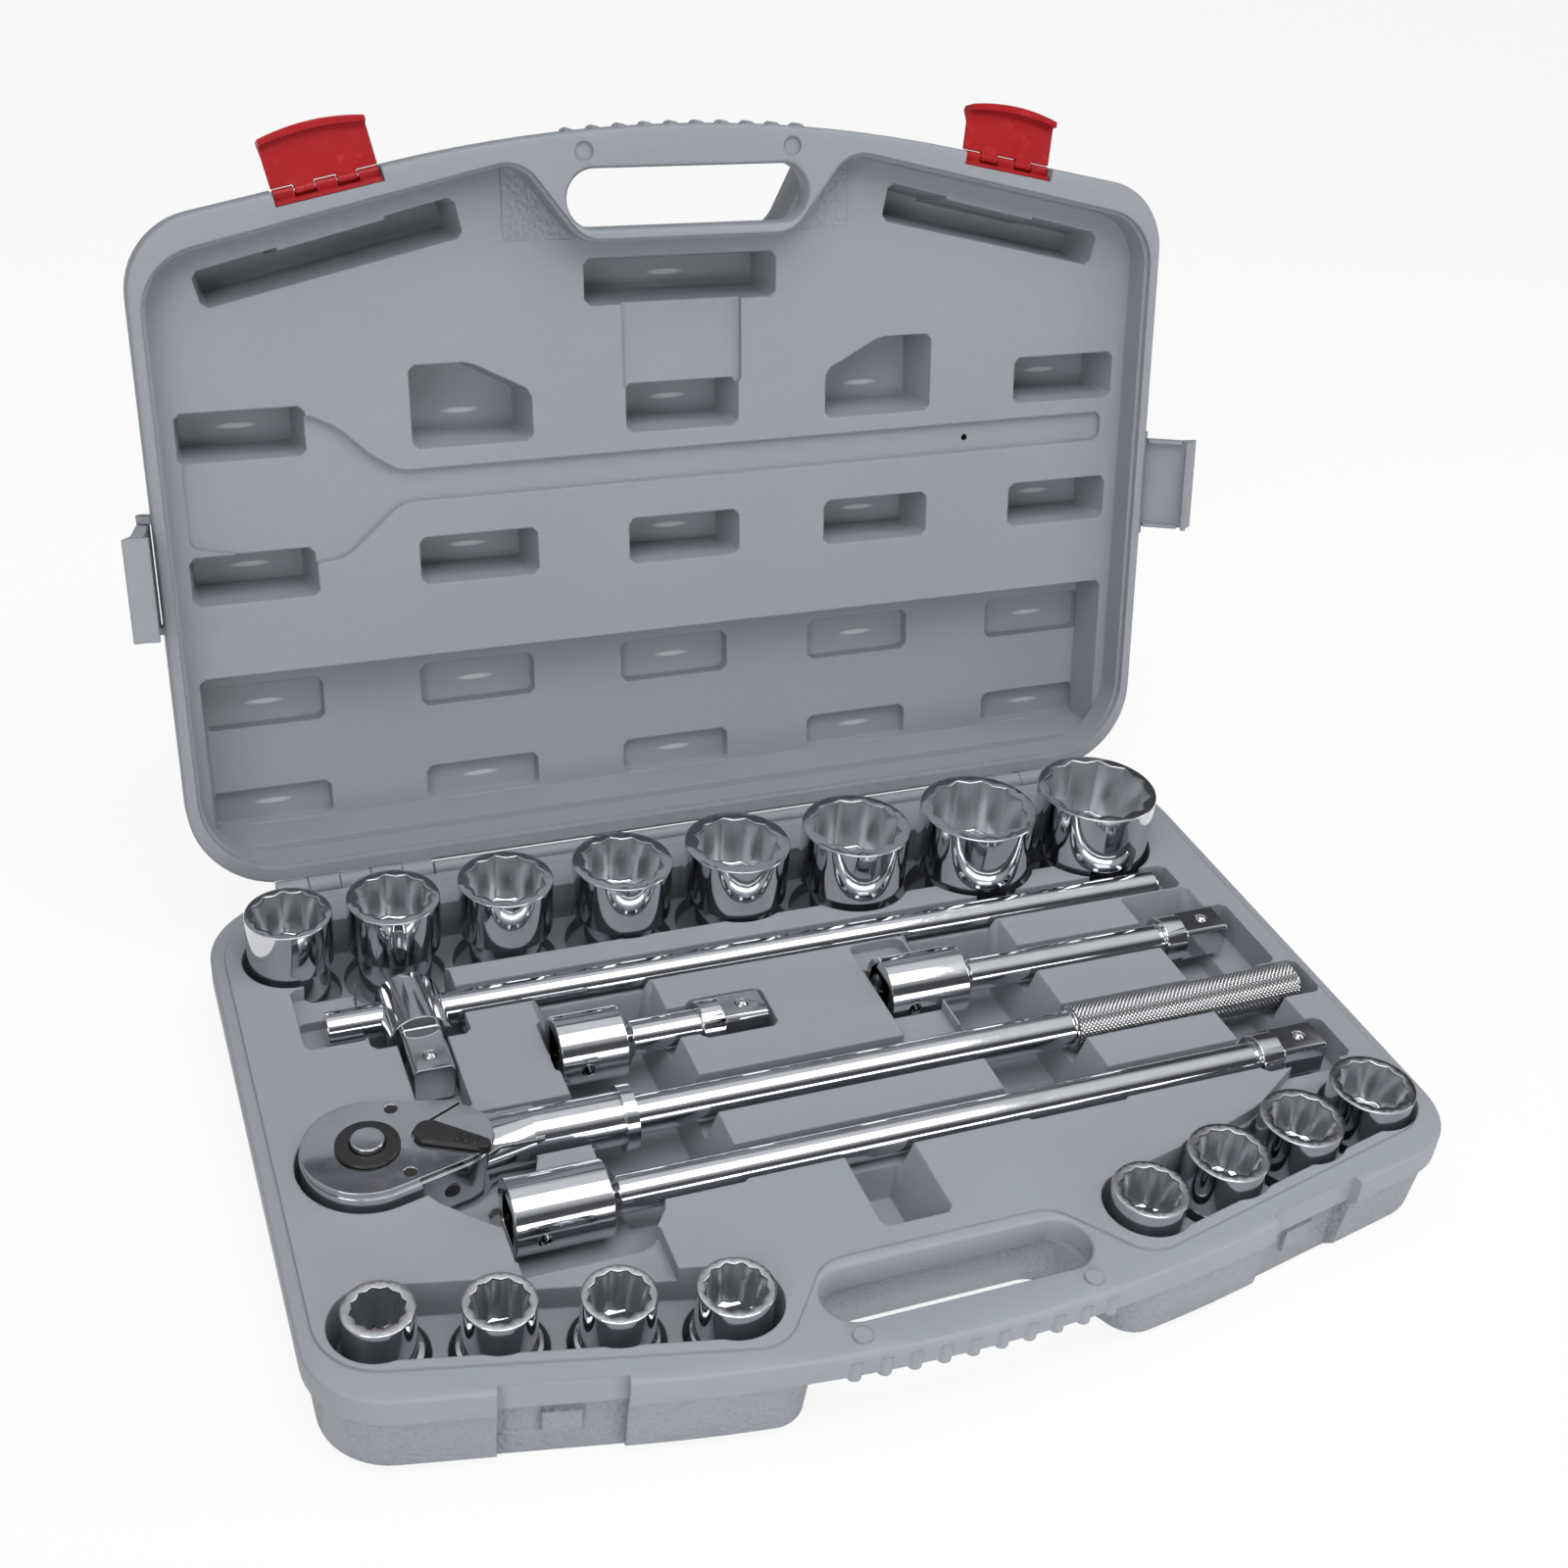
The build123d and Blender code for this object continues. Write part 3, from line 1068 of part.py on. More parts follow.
with BuildPart() as drive_gear:
    gear_low = GEAR_FLOOR + CLEAR
    gear_high = COVER_Z - CLEAR
    with BuildSketch(upright(RATCHET_X, RATCHET_D, gear_low)) as gear:
        with BuildLine():
            rim = []
            for n in range(GEAR_TEETH * 2):
                radius = GEAR_RADIUS if n % 2 else GEAR_RADIUS - TOOTH
                angle = math.pi * n / GEAR_TEETH
                rim.append((radius * math.cos(angle), radius * math.sin(angle)))
            Polyline(*rim, close=True)
        make_face()
    extrude(gear.sketch, amount=gear_high - gear_low)
    with BuildSketch(upright(RATCHET_X, RATCHET_D, gear_high)) as hub:
        Circle(HUB_RADIUS)
    extrude(hub.sketch, amount=RATCHET_TOP - gear_high + CLEAR)
    with BuildSketch(upright(RATCHET_X, RATCHET_D, gear_low)) as shank:
        Circle(SHANK_RADIUS)
    extrude(shank.sketch, amount=-RATCHET_BELOW - gear_low - SHANK_PROUD)
    square_top = upright(RATCHET_X, RATCHET_D, -RATCHET_BELOW - SHANK_PROUD)
    extrude(square_face(square_top, DRIVE_SQUARE), amount=SHANK_PROUD - DRIVE_REACH)
    with BuildSketch(upright(RATCHET_X, RATCHET_D, BUTTON_WELL)) as button_well:
        Circle(BUTTON_RADIUS + CLEAR)
    extrude(button_well.sketch, amount=RATCHET_TOP + 1 - BUTTON_WELL, mode=Mode.SUBTRACT)
    with BuildSketch(upright(RATCHET_X, RATCHET_D, STEM_END - BUTTON_TRAVEL - CLEAR)) as stem_bore:
        Circle(STEM_RADIUS + RUNNING_FIT)
    extrude(stem_bore.sketch, amount=BUTTON_WELL - STEM_END + BUTTON_TRAVEL + 1, mode=Mode.SUBTRACT)
    ball_seat(facing_front(RATCHET_X, RATCHET_D + SEAT_FLOOR, DRIVE_BALL_Z), DRIVE_SQUARE)

keep(drive_gear, "drive_gear")

with BuildPart() as drive_ring:
    with BuildSketch(upright(RATCHET_X, RATCHET_D, RATCHET_TOP + CLEAR + FITTED)) as ring:
        Circle(RING_RADIUS)
        Circle(BUTTON_RADIUS + CLEAR, mode=Mode.SUBTRACT)
    extrude(ring.sketch, amount=RING_HEIGHT)

keep(drive_ring, "drive_ring")

with BuildPart() as release_button:
    turn_profile(
        upright(RATCHET_X, RATCHET_D, STEM_END),
        (
            (0, 0),
            (STEM_RADIUS, 0),
            (STEM_RADIUS, BUTTON_LOW - STEM_END),
            (BUTTON_RADIUS, BUTTON_LOW - STEM_END),
            (BUTTON_RADIUS, BUTTON_TOP - STEM_END),
            (0, BUTTON_TOP - STEM_END),
        ),
    )

keep(release_button, "release_button")

with BuildPart() as release_spring:
    with BuildSketch(upright(RATCHET_X, RATCHET_D, BUTTON_WELL + FITTED)) as coil:
        Circle(STEM_RADIUS + SPRING_GAP + SPRING_WIRE)
        Circle(STEM_RADIUS + SPRING_GAP, mode=Mode.SUBTRACT)
    extrude(coil.sketch, amount=BUTTON_LOW - BUTTON_TRAVEL - CLEAR - BUTTON_WELL)

keep(release_spring, "release_spring")

with BuildPart() as drive_ball:
    ball_at(facing_front(RATCHET_X, RATCHET_D + BALL_HEIGHT, DRIVE_BALL_Z))

keep(drive_ball, "drive_ball")

with BuildPart() as reversing_lever:
    with BuildSketch(upright(LEVER_X, RATCHET_D, RATCHET_TOP - LEVER_RECESS + CLEAR)) as lever_plan:
        Circle(LEVER_BOSS)
        lean = math.radians(-LEVER_SWING / 2)
        tip_x = LEVER_LENGTH * math.cos(lean)
        tip_y = LEVER_LENGTH * math.sin(lean)
        with Locations((tip_x, tip_y)):
            Circle(LEVER_TIP)
        make_hull()
    extrude(lever_plan.sketch, amount=LEVER_HEIGHT)
    with BuildSketch(upright(LEVER_X, RATCHET_D, RATCHET_TOP - LEVER_RECESS + CLEAR)) as lever_shaft:
        Circle(LEVER_SHAFT)
    extrude(lever_shaft.sketch, amount=GEAR_FLOOR + 2 * CLEAR - RATCHET_TOP + LEVER_RECESS)

keep(reversing_lever, "reversing_lever")

with BuildPart() as ratchet_pawl:
    rocked = math.radians(-PAWL_ROCK / 2)
    pivot = upright(LEVER_X, RATCHET_D, GEAR_FLOOR + CLEAR)
    rocker = Plane(origin=pivot.origin, x_dir=(math.cos(rocked), math.sin(rocked), 0), z_dir=(0, 0, 1))
    with BuildSketch(rocker) as pawl_plan:
        Rectangle(*PAWL_SIZE)
        with Locations((RATCHET_X - LEVER_X, 0)):
            Circle(GEAR_RADIUS + PAWL_CLEAR, mode=Mode.SUBTRACT)
        Circle(LEVER_SHAFT + RUNNING_FIT, mode=Mode.SUBTRACT)
    extrude(pawl_plan.sketch, amount=COVER_Z - GEAR_FLOOR - 2 * CLEAR)

keep(ratchet_pawl, "ratchet_pawl")

with BuildPart() as neck_plug:
    with BuildSketch(plug_way.offset(PLUG_START)) as plug_end:
        Circle(PLUG_RADIUS)
    extrude(plug_end.sketch, amount=PLUG_LENGTH)

keep(neck_plug, "neck_plug")
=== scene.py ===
import bpy
import json
import math
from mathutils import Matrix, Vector

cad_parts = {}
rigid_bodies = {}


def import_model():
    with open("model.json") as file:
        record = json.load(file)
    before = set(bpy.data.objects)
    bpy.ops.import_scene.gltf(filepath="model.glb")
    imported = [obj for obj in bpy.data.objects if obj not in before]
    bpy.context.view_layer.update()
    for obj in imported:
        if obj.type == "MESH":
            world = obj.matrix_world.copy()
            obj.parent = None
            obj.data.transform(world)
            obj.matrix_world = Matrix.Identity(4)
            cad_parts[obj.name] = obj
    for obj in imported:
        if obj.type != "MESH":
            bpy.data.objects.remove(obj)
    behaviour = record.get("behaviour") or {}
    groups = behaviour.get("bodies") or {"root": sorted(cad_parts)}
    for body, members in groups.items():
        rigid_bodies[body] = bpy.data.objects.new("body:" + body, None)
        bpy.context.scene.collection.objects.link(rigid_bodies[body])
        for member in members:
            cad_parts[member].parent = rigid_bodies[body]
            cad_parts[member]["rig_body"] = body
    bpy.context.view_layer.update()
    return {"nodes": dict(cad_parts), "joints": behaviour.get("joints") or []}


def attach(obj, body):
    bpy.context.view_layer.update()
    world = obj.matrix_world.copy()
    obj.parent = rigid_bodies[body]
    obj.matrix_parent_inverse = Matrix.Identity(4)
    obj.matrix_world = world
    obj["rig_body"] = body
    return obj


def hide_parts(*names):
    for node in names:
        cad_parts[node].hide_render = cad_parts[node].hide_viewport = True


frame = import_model()


# Case halves. Two shells of mid-grey plastic, blown into a mould and joined by knuckles at the back edge.
# The skin is satin, every edge is softly rounded, and the outside below the rim band and the hand room
# have a coarse pebble grain. On the lid's pocket floors, where the two skins are welded, bright spots are
# painted highlights, and the blow-pin hole in the lid is painted black as painted shade.
HINGE = (0.1835, 0.048)
LEAN = math.radians(102)
GREY_DARK = (0.222, 0.238, 0.262)
GREY_LIGHT = (0.272, 0.290, 0.317)
GLINT_GREY = (0.60, 0.62, 0.65)
PIN_HOLE_SHADE = (0.004, 0.004, 0.004)
EDGE_ROUNDING = 0.0013
GRAIN_SIDE = 0.2608
GRAIN_FRONT = 0.371
CHEEK_SLOPE = 0.2034
GRAIN_BACK = 0.0085
HAND_ROOM_HALF = 0.09
HAND_ROOM_START = 0.3142
BAND_DEPTH = 0.0147
GRAIN_HEIGHT = 0.0011
OUTER_SKIN = 0.0468
WELD_DEPTH = 0.0434
WELD_PITCH = 0.1102
WELD_ROWS = (0.0325, 0.0875, 0.16025, 0.2295, 0.293)
GLINT_HALF = (0.0105, 0.0016)
PIN_MARK = (0.163, 0.200)
PIN_MARK_RADIUS = 0.0017
PIN_MARK_DEPTH = 0.0185


class Shade:
    """An output of a shader node. Sums on it add maths nodes, and node() adds any other node."""

    def __init__(self, tree, socket):
        self.tree = tree
        self.socket = socket

    def node(self, kind, out=0, inputs=None, **settings):
        made = self.tree.nodes.new("ShaderNode" + kind)
        for name, value in settings.items():
            setattr(made, name, value)
        for name, value in (inputs or {}).items():
            if isinstance(value, Shade):
                self.tree.links.new(value.socket, made.inputs[name])
            else:
                made.inputs[name].default_value = value
        return Shade(self.tree, made.outputs[out])

    def maths(self, operation, *terms, clamp=False):
        return self.node("Math", inputs=dict(enumerate(terms)), operation=operation, use_clamp=clamp)

    def __add__(self, other):
        return self.maths("ADD", self, other)

    def __radd__(self, other):
        return self.maths("ADD", other, self)

    def __sub__(self, other):
        return self.maths("SUBTRACT", self, other)

    def __rsub__(self, other):
        return self.maths("SUBTRACT", other, self)

    def __mul__(self, other):
        return self.maths("MULTIPLY", self, other)

    def __rmul__(self, other):
        return self.maths("MULTIPLY", other, self)

    def __abs__(self):
        return self.maths("ABSOLUTE", self)

    def over(self, edge, blur):
        """0 below the edge and 1 above it, with a soft step."""
        return self.maths("MULTIPLY_ADD", self, 0.5 / blur, 0.5 - 0.5 * edge / blur, clamp=True)

    def under(self, edge, blur):
        """1 below the edge and 0 above it, with a soft step."""
        return (0.0 - self).over(-edge, blur)

    def either(self, other):
        return self.maths("MAXIMUM", self, other)

    def noise(self, scale, detail=3.0, roughness=0.5):
        sockets = {"Vector": self, "Scale": scale, "Detail": detail, "Roughness": roughness}
        return self.node("TexNoise", inputs=sockets)

    def stretched(self, x, y, z):
        """The same coordinates, drawn out for a pattern that runs along one way."""
        return self.node("Mapping", inputs={"Vector": self, "Scale": (x, y, z)})

    def mix(self, low, high):
        """Colour between low and high by this value."""
        ends = [end if isinstance(end, Shade) else (*end, 1) for end in (low, high)]
        return self.node("Mix", out=2, inputs={0: self, 6: ends[0], 7: ends[1]}, data_type="RGBA")

    def bump(self, distance, strength=1.0, rounding=0.0):
        """Normal of a surface with this height, and its edges rounded."""
        sockets = {"Height": self, "Distance": distance, "Strength": strength}
        if rounding:
            sockets["Normal"] = self.node("Bevel", inputs={"Radius": rounding}, samples=4)
        return self.node("Bump", inputs=sockets)


def material(name):
    """A new material: its Principled shader, and the object coordinates to draw on it with."""
    made = bpy.data.materials.new(name)
    made.use_nodes = True
    tree = made.node_tree
    shader = tree.nodes["Principled BSDF"]
    place = Shade(tree, tree.nodes.new("ShaderNodeTexCoord").outputs["Object"])
    return made, shader, place


def feed(shader, name, value):
    """Links a value that varies to an input of the shader."""
    value.tree.links.new(value.socket, shader.inputs[name])


def axes_of(place):
    """The three numbers of the coordinates."""
    return [place.node("SeparateXYZ", out=n, inputs={"Vector": place}) for n in range(3)]


def moulded_grey(name, way_out, way_in, painted_light_marks):
    """Grey plastic; way_out and way_in are the (y, z) ways from the hinge to the front and into the half."""
    made, shader, place = material(name)
    side, back_to_front, upwards = axes_of(place)
    x = abs(side)
    y = back_to_front - HINGE[0]
    z = upwards - HINGE[1]
    d = y * way_out[0] + z * way_out[1]
    deep = y * way_in[0] + z * way_in[1]
    sides = x.over(GRAIN_SIDE, 0.0002)
    front = (d + CHEEK_SLOPE * x).over(GRAIN_FRONT, 0.0005)
    back = d.under(GRAIN_BACK, 0.0004)
    hand_room = d.over(HAND_ROOM_START, 0.0004) * x.under(HAND_ROOM_HALF, 0.0004)
    grained = sides.either(front).either(back).either(hand_room) * deep.over(BAND_DEPTH, 0.0004)
    tone = place.noise(9.0, 4.0) * 0.65 + place.noise(260.0, 2.0) * 0.35
    colour = tone.mix(GREY_DARK, GREY_LIGHT)
    gloss = 0.44 + 0.16 * place.noise(35.0) + 0.08 * grained
    if painted_light_marks:
        # Painted highlight: lighter, smoother spots on the floors of the lid's welded pockets.
        across = side.maths("WRAP", side, WELD_PITCH / 2, -WELD_PITCH / 2) * (1 / GLINT_HALF[0])
        spots = 0.0
        for row in WELD_ROWS:
            along = (d - row) * (1 / GLINT_HALF[1])
            spot = 1.0 - (across * across + along * along)
            spots = spot.maths("MAXIMUM", spot, spots)
        inner_skin = deep.under(OUTER_SKIN, 0.0003)
        glint = spots.over(0.35, 0.35) * deep.over(WELD_DEPTH, 0.0003) * inner_skin
        # Painted shade: the floor of the blow-pin hole in the lid's panel is painted black.
        hole_x = side - PIN_MARK[0]
        hole_d = d - PIN_MARK[1]
        in_hole = (hole_x * hole_x + hole_d * hole_d).under(PIN_MARK_RADIUS**2, 3e-7)
        hole = in_hole * deep.over(PIN_MARK_DEPTH, 0.0003) * inner_skin
        colour = (0.6 * glint).mix(colour, GLINT_GREY)
        colour = hole.mix(colour, PIN_HOLE_SHADE)
        gloss = gloss - 0.2 * glint
    feed(shader, "Base Color", colour)
    feed(shader, "Roughness", gloss)
    cells = {"Vector": place, "Scale": 400.0, "Smoothness": 0.35}
    pebble = place.node("TexVoronoi", inputs=cells, feature="SMOOTH_F1")
    height = 0.035 * place.noise(1500.0, 2.0) + 0.02 * place.noise(90.0) - pebble * grained
    feed(shader, "Normal", height.bump(GRAIN_HEIGHT, 0.9, EDGE_ROUNDING))
    shader.inputs["Specular IOR Level"].default_value = 0.4
    return made


def shade(piece, angle):
    """Smooth curves and flat faces on the active piece, with sharp edges above an angle."""
    bpy.ops.object.shade_smooth_by_angle(angle=math.radians(angle))
    flatness = piece.modifiers.new("flatness", "WEIGHTED_NORMAL")
    flatness.keep_sharp = True
    bpy.ops.object.modifier_apply(modifier="flatness")


def refined(name, made, rounding=0.0, limit=60.0, smooth=40.0, swell=0, flats=True):
    """A copy of a CAD node, with facets merged, edges rounded and curves smooth, that stands for it."""
    node = frame["nodes"][name]
    bpy.ops.object.select_all(action="DESELECT")
    piece = bpy.data.objects.new(name + "_finished", node.data.copy())
    bpy.context.scene.collection.objects.link(piece)
    piece.select_set(True)
    bpy.context.view_layer.objects.active = piece
    bpy.ops.mesh.customdata_custom_splitnormals_clear()
    bpy.ops.object.mode_set(mode="EDIT")
    bpy.ops.mesh.select_all(action="SELECT")
    bpy.ops.mesh.remove_doubles(threshold=0.00002)
    if rounding and flats:
        bpy.ops.mesh.dissolve_limited(angle_limit=math.radians(0.5))
    bpy.ops.object.mode_set(mode="OBJECT")
    if rounding:
        bevel = piece.modifiers.new("rounding", "BEVEL")
        bevel.width = rounding
        bevel.segments = 2
        bevel.limit_method = "ANGLE"
        bevel.angle_limit = math.radians(limit)
        bevel.use_clamp_overlap = False
        bevel.miter_outer = "MITER_ARC"
        bpy.ops.object.modifier_apply(modifier="rounding")
    if swell:
        ball = piece.modifiers.new("swell", "SUBSURF")
        ball.levels = swell
        ball.render_levels = swell
        bpy.ops.object.modifier_apply(modifier="swell")
    shade(piece, smooth)
    piece.data.materials.clear()
    piece.data.materials.append(made)
    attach(piece, node["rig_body"])
    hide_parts(name)
    return piece


base_grey = moulded_grey("base_grey", (-1, 0), (0, -1), False)
lid_out = (-math.cos(LEAN), math.sin(LEAN))
lid_in = (math.sin(LEAN), math.cos(LEAN))
lid_grey = moulded_grey("lid_grey", lid_out, lid_in, True)
refined("case_base", base_grey, smooth=50)
refined("case_lid", lid_grey, smooth=50)


# Hinge bead. The base's back edge is rolled up round the hinge line between the two sets of knuckles,
# so that no light shows under the open lid; it is moulded in one with the base.
BEAD_HALF = 0.147
BEAD_RADIUS = 0.0037
BEAD_ROOT = (0.0, -0.0055, -0.0035)
ROOT_SPREAD = 0.9
ALONG_X = (0, math.pi / 2, 0)


def primitive(name, add, **settings):
    """A new primitive as the active object, with its place in its mesh."""
    bpy.ops.object.select_all(action="DESELECT")
    add(**settings)
    made = bpy.context.object
    made.name = name
    bpy.ops.object.transform_apply(location=True, rotation=True, scale=True)
    return made


def dress(piece, made, body):
    """Gives an added piece its material and body."""
    piece.data.materials.append(made)
    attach(piece, body)


bead = primitive(
    "hinge_bead",
    bpy.ops.mesh.primitive_cylinder_add,
    vertices=32,
    radius=BEAD_RADIUS,
    depth=2 * BEAD_HALF,
    location=(0, *HINGE),
    rotation=ALONG_X,
)
bpy.ops.object.mode_set(mode="EDIT")
bpy.ops.mesh.select_mode(type="FACE")
bpy.ops.mesh.select_all(action="DESELECT")
bpy.ops.object.mode_set(mode="OBJECT")
for face in bead.data.polygons:
    face.select = face.normal.dot(Vector(BEAD_ROOT).normalized()) > ROOT_SPREAD
bpy.ops.object.mode_set(mode="EDIT")
bpy.ops.mesh.extrude_region_move(TRANSFORM_OT_translate={"value": BEAD_ROOT})
bpy.ops.object.mode_set(mode="OBJECT")
bpy.ops.object.shade_smooth_by_angle(angle=math.radians(40))
dress(bead, base_grey, "base")


# Side clips. Grey moulded clips that swing on pins at the lid's two sides and hook under the base's band.
clip_grey, shader, place = material("clip_grey")
feed(shader, "Base Color", place.noise(60.0).mix(GREY_DARK, GREY_LIGHT))
feed(shader, "Roughness", 0.42 + 0.18 * place.noise(35.0))
feed(shader, "Normal", place.noise(1500.0, 2.0).bump(0.00005, 0.6))
for hand in ("left", "right"):
    refined("side_clip_" + hand, clip_grey, rounding=0.0005, limit=35)


# Front latches. A leaf let into the lid's front edge and a flap that folds over the base's band, both moulded
# in red plastic, a little scuffed where fingers open them. The flap's free edge is bowed for a thumb.
FLAP_HALF = 0.025
FLAP_BOW = 0.003
FLAP_CUTS = 11
RED_DARK = (0.27, 0.004, 0.006)
RED_LIGHT = (0.34, 0.007, 0.009)
RED_SCUFFED = (0.40, 0.02, 0.02)
red, shader, place = material("latch_red")
scuff = place.noise(160.0, 5.0, 0.65)
plain_red = place.noise(40.0).mix(RED_DARK, RED_LIGHT)
feed(shader, "Base Color", scuff.over(0.64, 0.06).mix(plain_red, RED_SCUFFED))
feed(shader, "Roughness", 0.30 + 0.22 * scuff)
shader.inputs["Specular IOR Level"].default_value = 0.3
feed(shader, "Normal", place.noise(700.0, 2.0).bump(0.00004, 0.7))
for hand in ("left", "right"):
    refined("latch_leaf_" + hand, red, rounding=0.0003, limit=50)
    flap = refined("latch_flap_" + hand, red, rounding=0.0005, limit=40)
    hinge = next(joint for joint in frame["joints"] if joint["name"] == f"latch_{hand}_hinge")
    pin = Vector(hinge["pos_m"])
    along = Vector(hinge["axis"])
    bpy.ops.object.mode_set(mode="EDIT")
    for n in range(FLAP_CUTS):
        bpy.ops.mesh.select_all(action="SELECT")
        at = pin + along * FLAP_HALF * (2 * (n + 1) / (FLAP_CUTS + 1) - 1)
        bpy.ops.mesh.bisect(plane_co=at, plane_no=along)
    bpy.ops.object.mode_set(mode="OBJECT")
    reaches = [(v.co - pin) - along * (v.co - pin).dot(along) for v in flap.data.vertices]
    free_edge = max(reaches, key=lambda reach: reach.length)
    for vertex, reach in zip(flap.data.vertices, reaches):
        aside = (vertex.co - pin).dot(along) / FLAP_HALF
        share = max(0.0, reach.dot(free_edge) / free_edge.length_squared)
        vertex.co += free_edge.normalized() * FLAP_BOW * (1 - aside**2) * share**2
    bpy.ops.mesh.customdata_custom_splitnormals_clear()
    shade(flap, 40)


# Pins of hinge, latches and clips, and the ratchet's inner pieces. Plain ground steel with a film of oil.
STEEL_DARK = (0.46, 0.46, 0.47)
STEEL_LIGHT = (0.60, 0.60, 0.61)
steel, shader, place = material("steel")
shader.inputs["Metallic"].default_value = 1.0
grain = place.noise(300.0, 3.0)
feed(shader, "Base Color", grain.mix(STEEL_DARK, STEEL_LIGHT))
feed(shader, "Roughness", 0.2 + 0.16 * grain)
for name in ("hinge_pins", "latch_pins", "clip_pins", "drive_gear", "release_spring", "ratchet_pawl"):
    refined(name, steel)


# Sockets. Forged, broached with twelve points and a drive square, then polished and chrome plated.
# The rims are rounded and the plate has faint wipe marks; inside, the broach leaves the flutes satin, painted
# lighter than the outside chrome as painted light.
CHROME_DARK = (0.52, 0.53, 0.55)
CHROME_LIGHT = (0.66, 0.67, 0.69)
BROACHED_PAINTED_LIGHT_LOW = (0.74, 0.75, 0.77)
BROACHED_PAINTED_LIGHT_HIGH = (0.88, 0.89, 0.91)
RIM_ROUNDING = 0.0008
UPRIGHT = 0.3
chrome, shader, place = material("chrome")
shader.inputs["Metallic"].default_value = 1.0
smear = place.noise(55.0, 4.0)
wiped = place.stretched(1.0, 1.0, 9.0).noise(160.0, 3.0)
feed(shader, "Base Color", smear.mix(CHROME_DARK, CHROME_LIGHT))
feed(shader, "Roughness", 0.035 + 0.07 * smear + 0.05 * wiped.over(0.6, 0.1))
feed(shader, "Normal", smear.bump(0.0004, 0.12, 0.0004))

# Painted light: the flutes' chrome is lighter than the outside chrome so that the bores look lit; the streaks
# along them are the broach's.
broached_bore_painted_light, shader, place = material("broached_chrome_painted_light")
shader.inputs["Metallic"].default_value = 1.0
strokes = place.stretched(1.0, 1.0, 0.04).noise(800.0, 2.0)
feed(shader, "Base Color", strokes.mix(BROACHED_PAINTED_LIGHT_LOW, BROACHED_PAINTED_LIGHT_HIGH))
feed(shader, "Roughness", 0.24 + 0.14 * strokes)

for name in frame["nodes"]:
    if name.startswith("socket_"):
        socket = refined(name, chrome, rounding=RIM_ROUNDING, limit=70, flats=False)
        socket.data.materials.append(broached_bore_painted_light)
        middle = (Vector(socket.bound_box[0]) + Vector(socket.bound_box[6])) / 2
        for face in socket.data.polygons:
            outwards = face.center - middle
            inwards = face.normal.x * outwards.x + face.normal.y * outwards.y < 0
            if inwards and abs(face.normal.z) < UPRIGHT:
                face.material_index = 1


# T-bar. A round bar that slides through a forged head with a drive square; both chrome plated.
refined("tbar_rod", chrome, rounding=0.0012, limit=60)
refined("tbar_head", chrome, rounding=0.0006, limit=50)


# Extensions. Chrome-plated bars, each with a female square in its barrel, a collar and a drive square.
for name in ("short_extension", "medium_extension", "long_extension"):
    refined(name, chrome, rounding=0.0006, limit=50)


# Detent balls. Hard steel balls that stand a little out of the drive squares.
for owner in ("tbar", "short_extension", "medium_extension", "long_extension", "drive"):
    refined(owner + "_ball", steel, swell=1, smooth=80)


# Ratchet. A forged pear-shaped head with a neck and ferrule, a cover plate let into its top
# and a tube handle that is pressed into the ferrule; polished and chrome plated.
refined("ratchet_body", chrome, smooth=35)
refined("ratchet_handle", chrome, rounding=0.0006, limit=60)
refined("ratchet_cover", chrome, rounding=0.0004, limit=60)


# Neck of the ratchet. The forging narrows behind the head and swells into the round ferrule without a step.
RATCHET_AXIS = (-0.0215, 0.045)
NECK_X = (-0.148, -0.178)
NECK_RADIUS = 0.0124
NECK_SPREAD = 1.3
NECK_FLATNESS = 0.73
NECK_STEPS = 8
neck = primitive(
    "ratchet_neck",
    bpy.ops.mesh.primitive_circle_add,
    vertices=48,
    radius=NECK_RADIUS,
    location=(NECK_X[0], *RATCHET_AXIS),
    rotation=ALONG_X,
)
bpy.ops.object.mode_set(mode="EDIT")
bpy.ops.mesh.select_all(action="SELECT")
step = ((NECK_X[1] - NECK_X[0]) / NECK_STEPS, 0, 0)
change = (1, NECK_SPREAD ** (1 / NECK_STEPS), NECK_FLATNESS ** (1 / NECK_STEPS))
for n in range(NECK_STEPS):
    bpy.ops.mesh.extrude_edges_move(TRANSFORM_OT_translate={"value": step})
    bpy.ops.transform.resize(value=change, center_override=(0, *RATCHET_AXIS))
bpy.ops.mesh.select_all(action="SELECT")
bpy.ops.mesh.fill_holes(sides=0)
bpy.ops.mesh.normals_make_consistent(inside=False)
bpy.ops.object.mode_set(mode="OBJECT")
bpy.ops.object.shade_smooth_by_angle(angle=math.radians(40))
dress(neck, chrome, "ratchet")


# Knurled grip. Diamonds rolled into the handle's thick end; their tips carry a painted highlight and their
# grooves a painted shade.
GRIP_START = 0.121
GRIP_END = 0.250
GRIP_ROOT = 0.01092
KNURL_AROUND = 30
KNURL_ALONG = 58
KNURL_HEIGHT = 0.00045
KNURL_INSET = 0.002
KNURL_END = (1.008, 0.95, 0.95)
GROOVE_PAINTED_SHADE = (0.10, 0.10, 0.105)
TIP_PAINTED_HIGHLIGHT = (0.82, 0.82, 0.83)
grip_middle = ((GRIP_START + GRIP_END) / 2, *RATCHET_AXIS)

rolled, shader, place = material("knurled_chrome_painted_light")
shader.inputs["Metallic"].default_value = 1.0
off_y, off_z = [value - centre for value, centre in zip(axes_of(place)[1:], RATCHET_AXIS)]
radius = place.maths("SQRT", off_y * off_y + off_z * off_z)
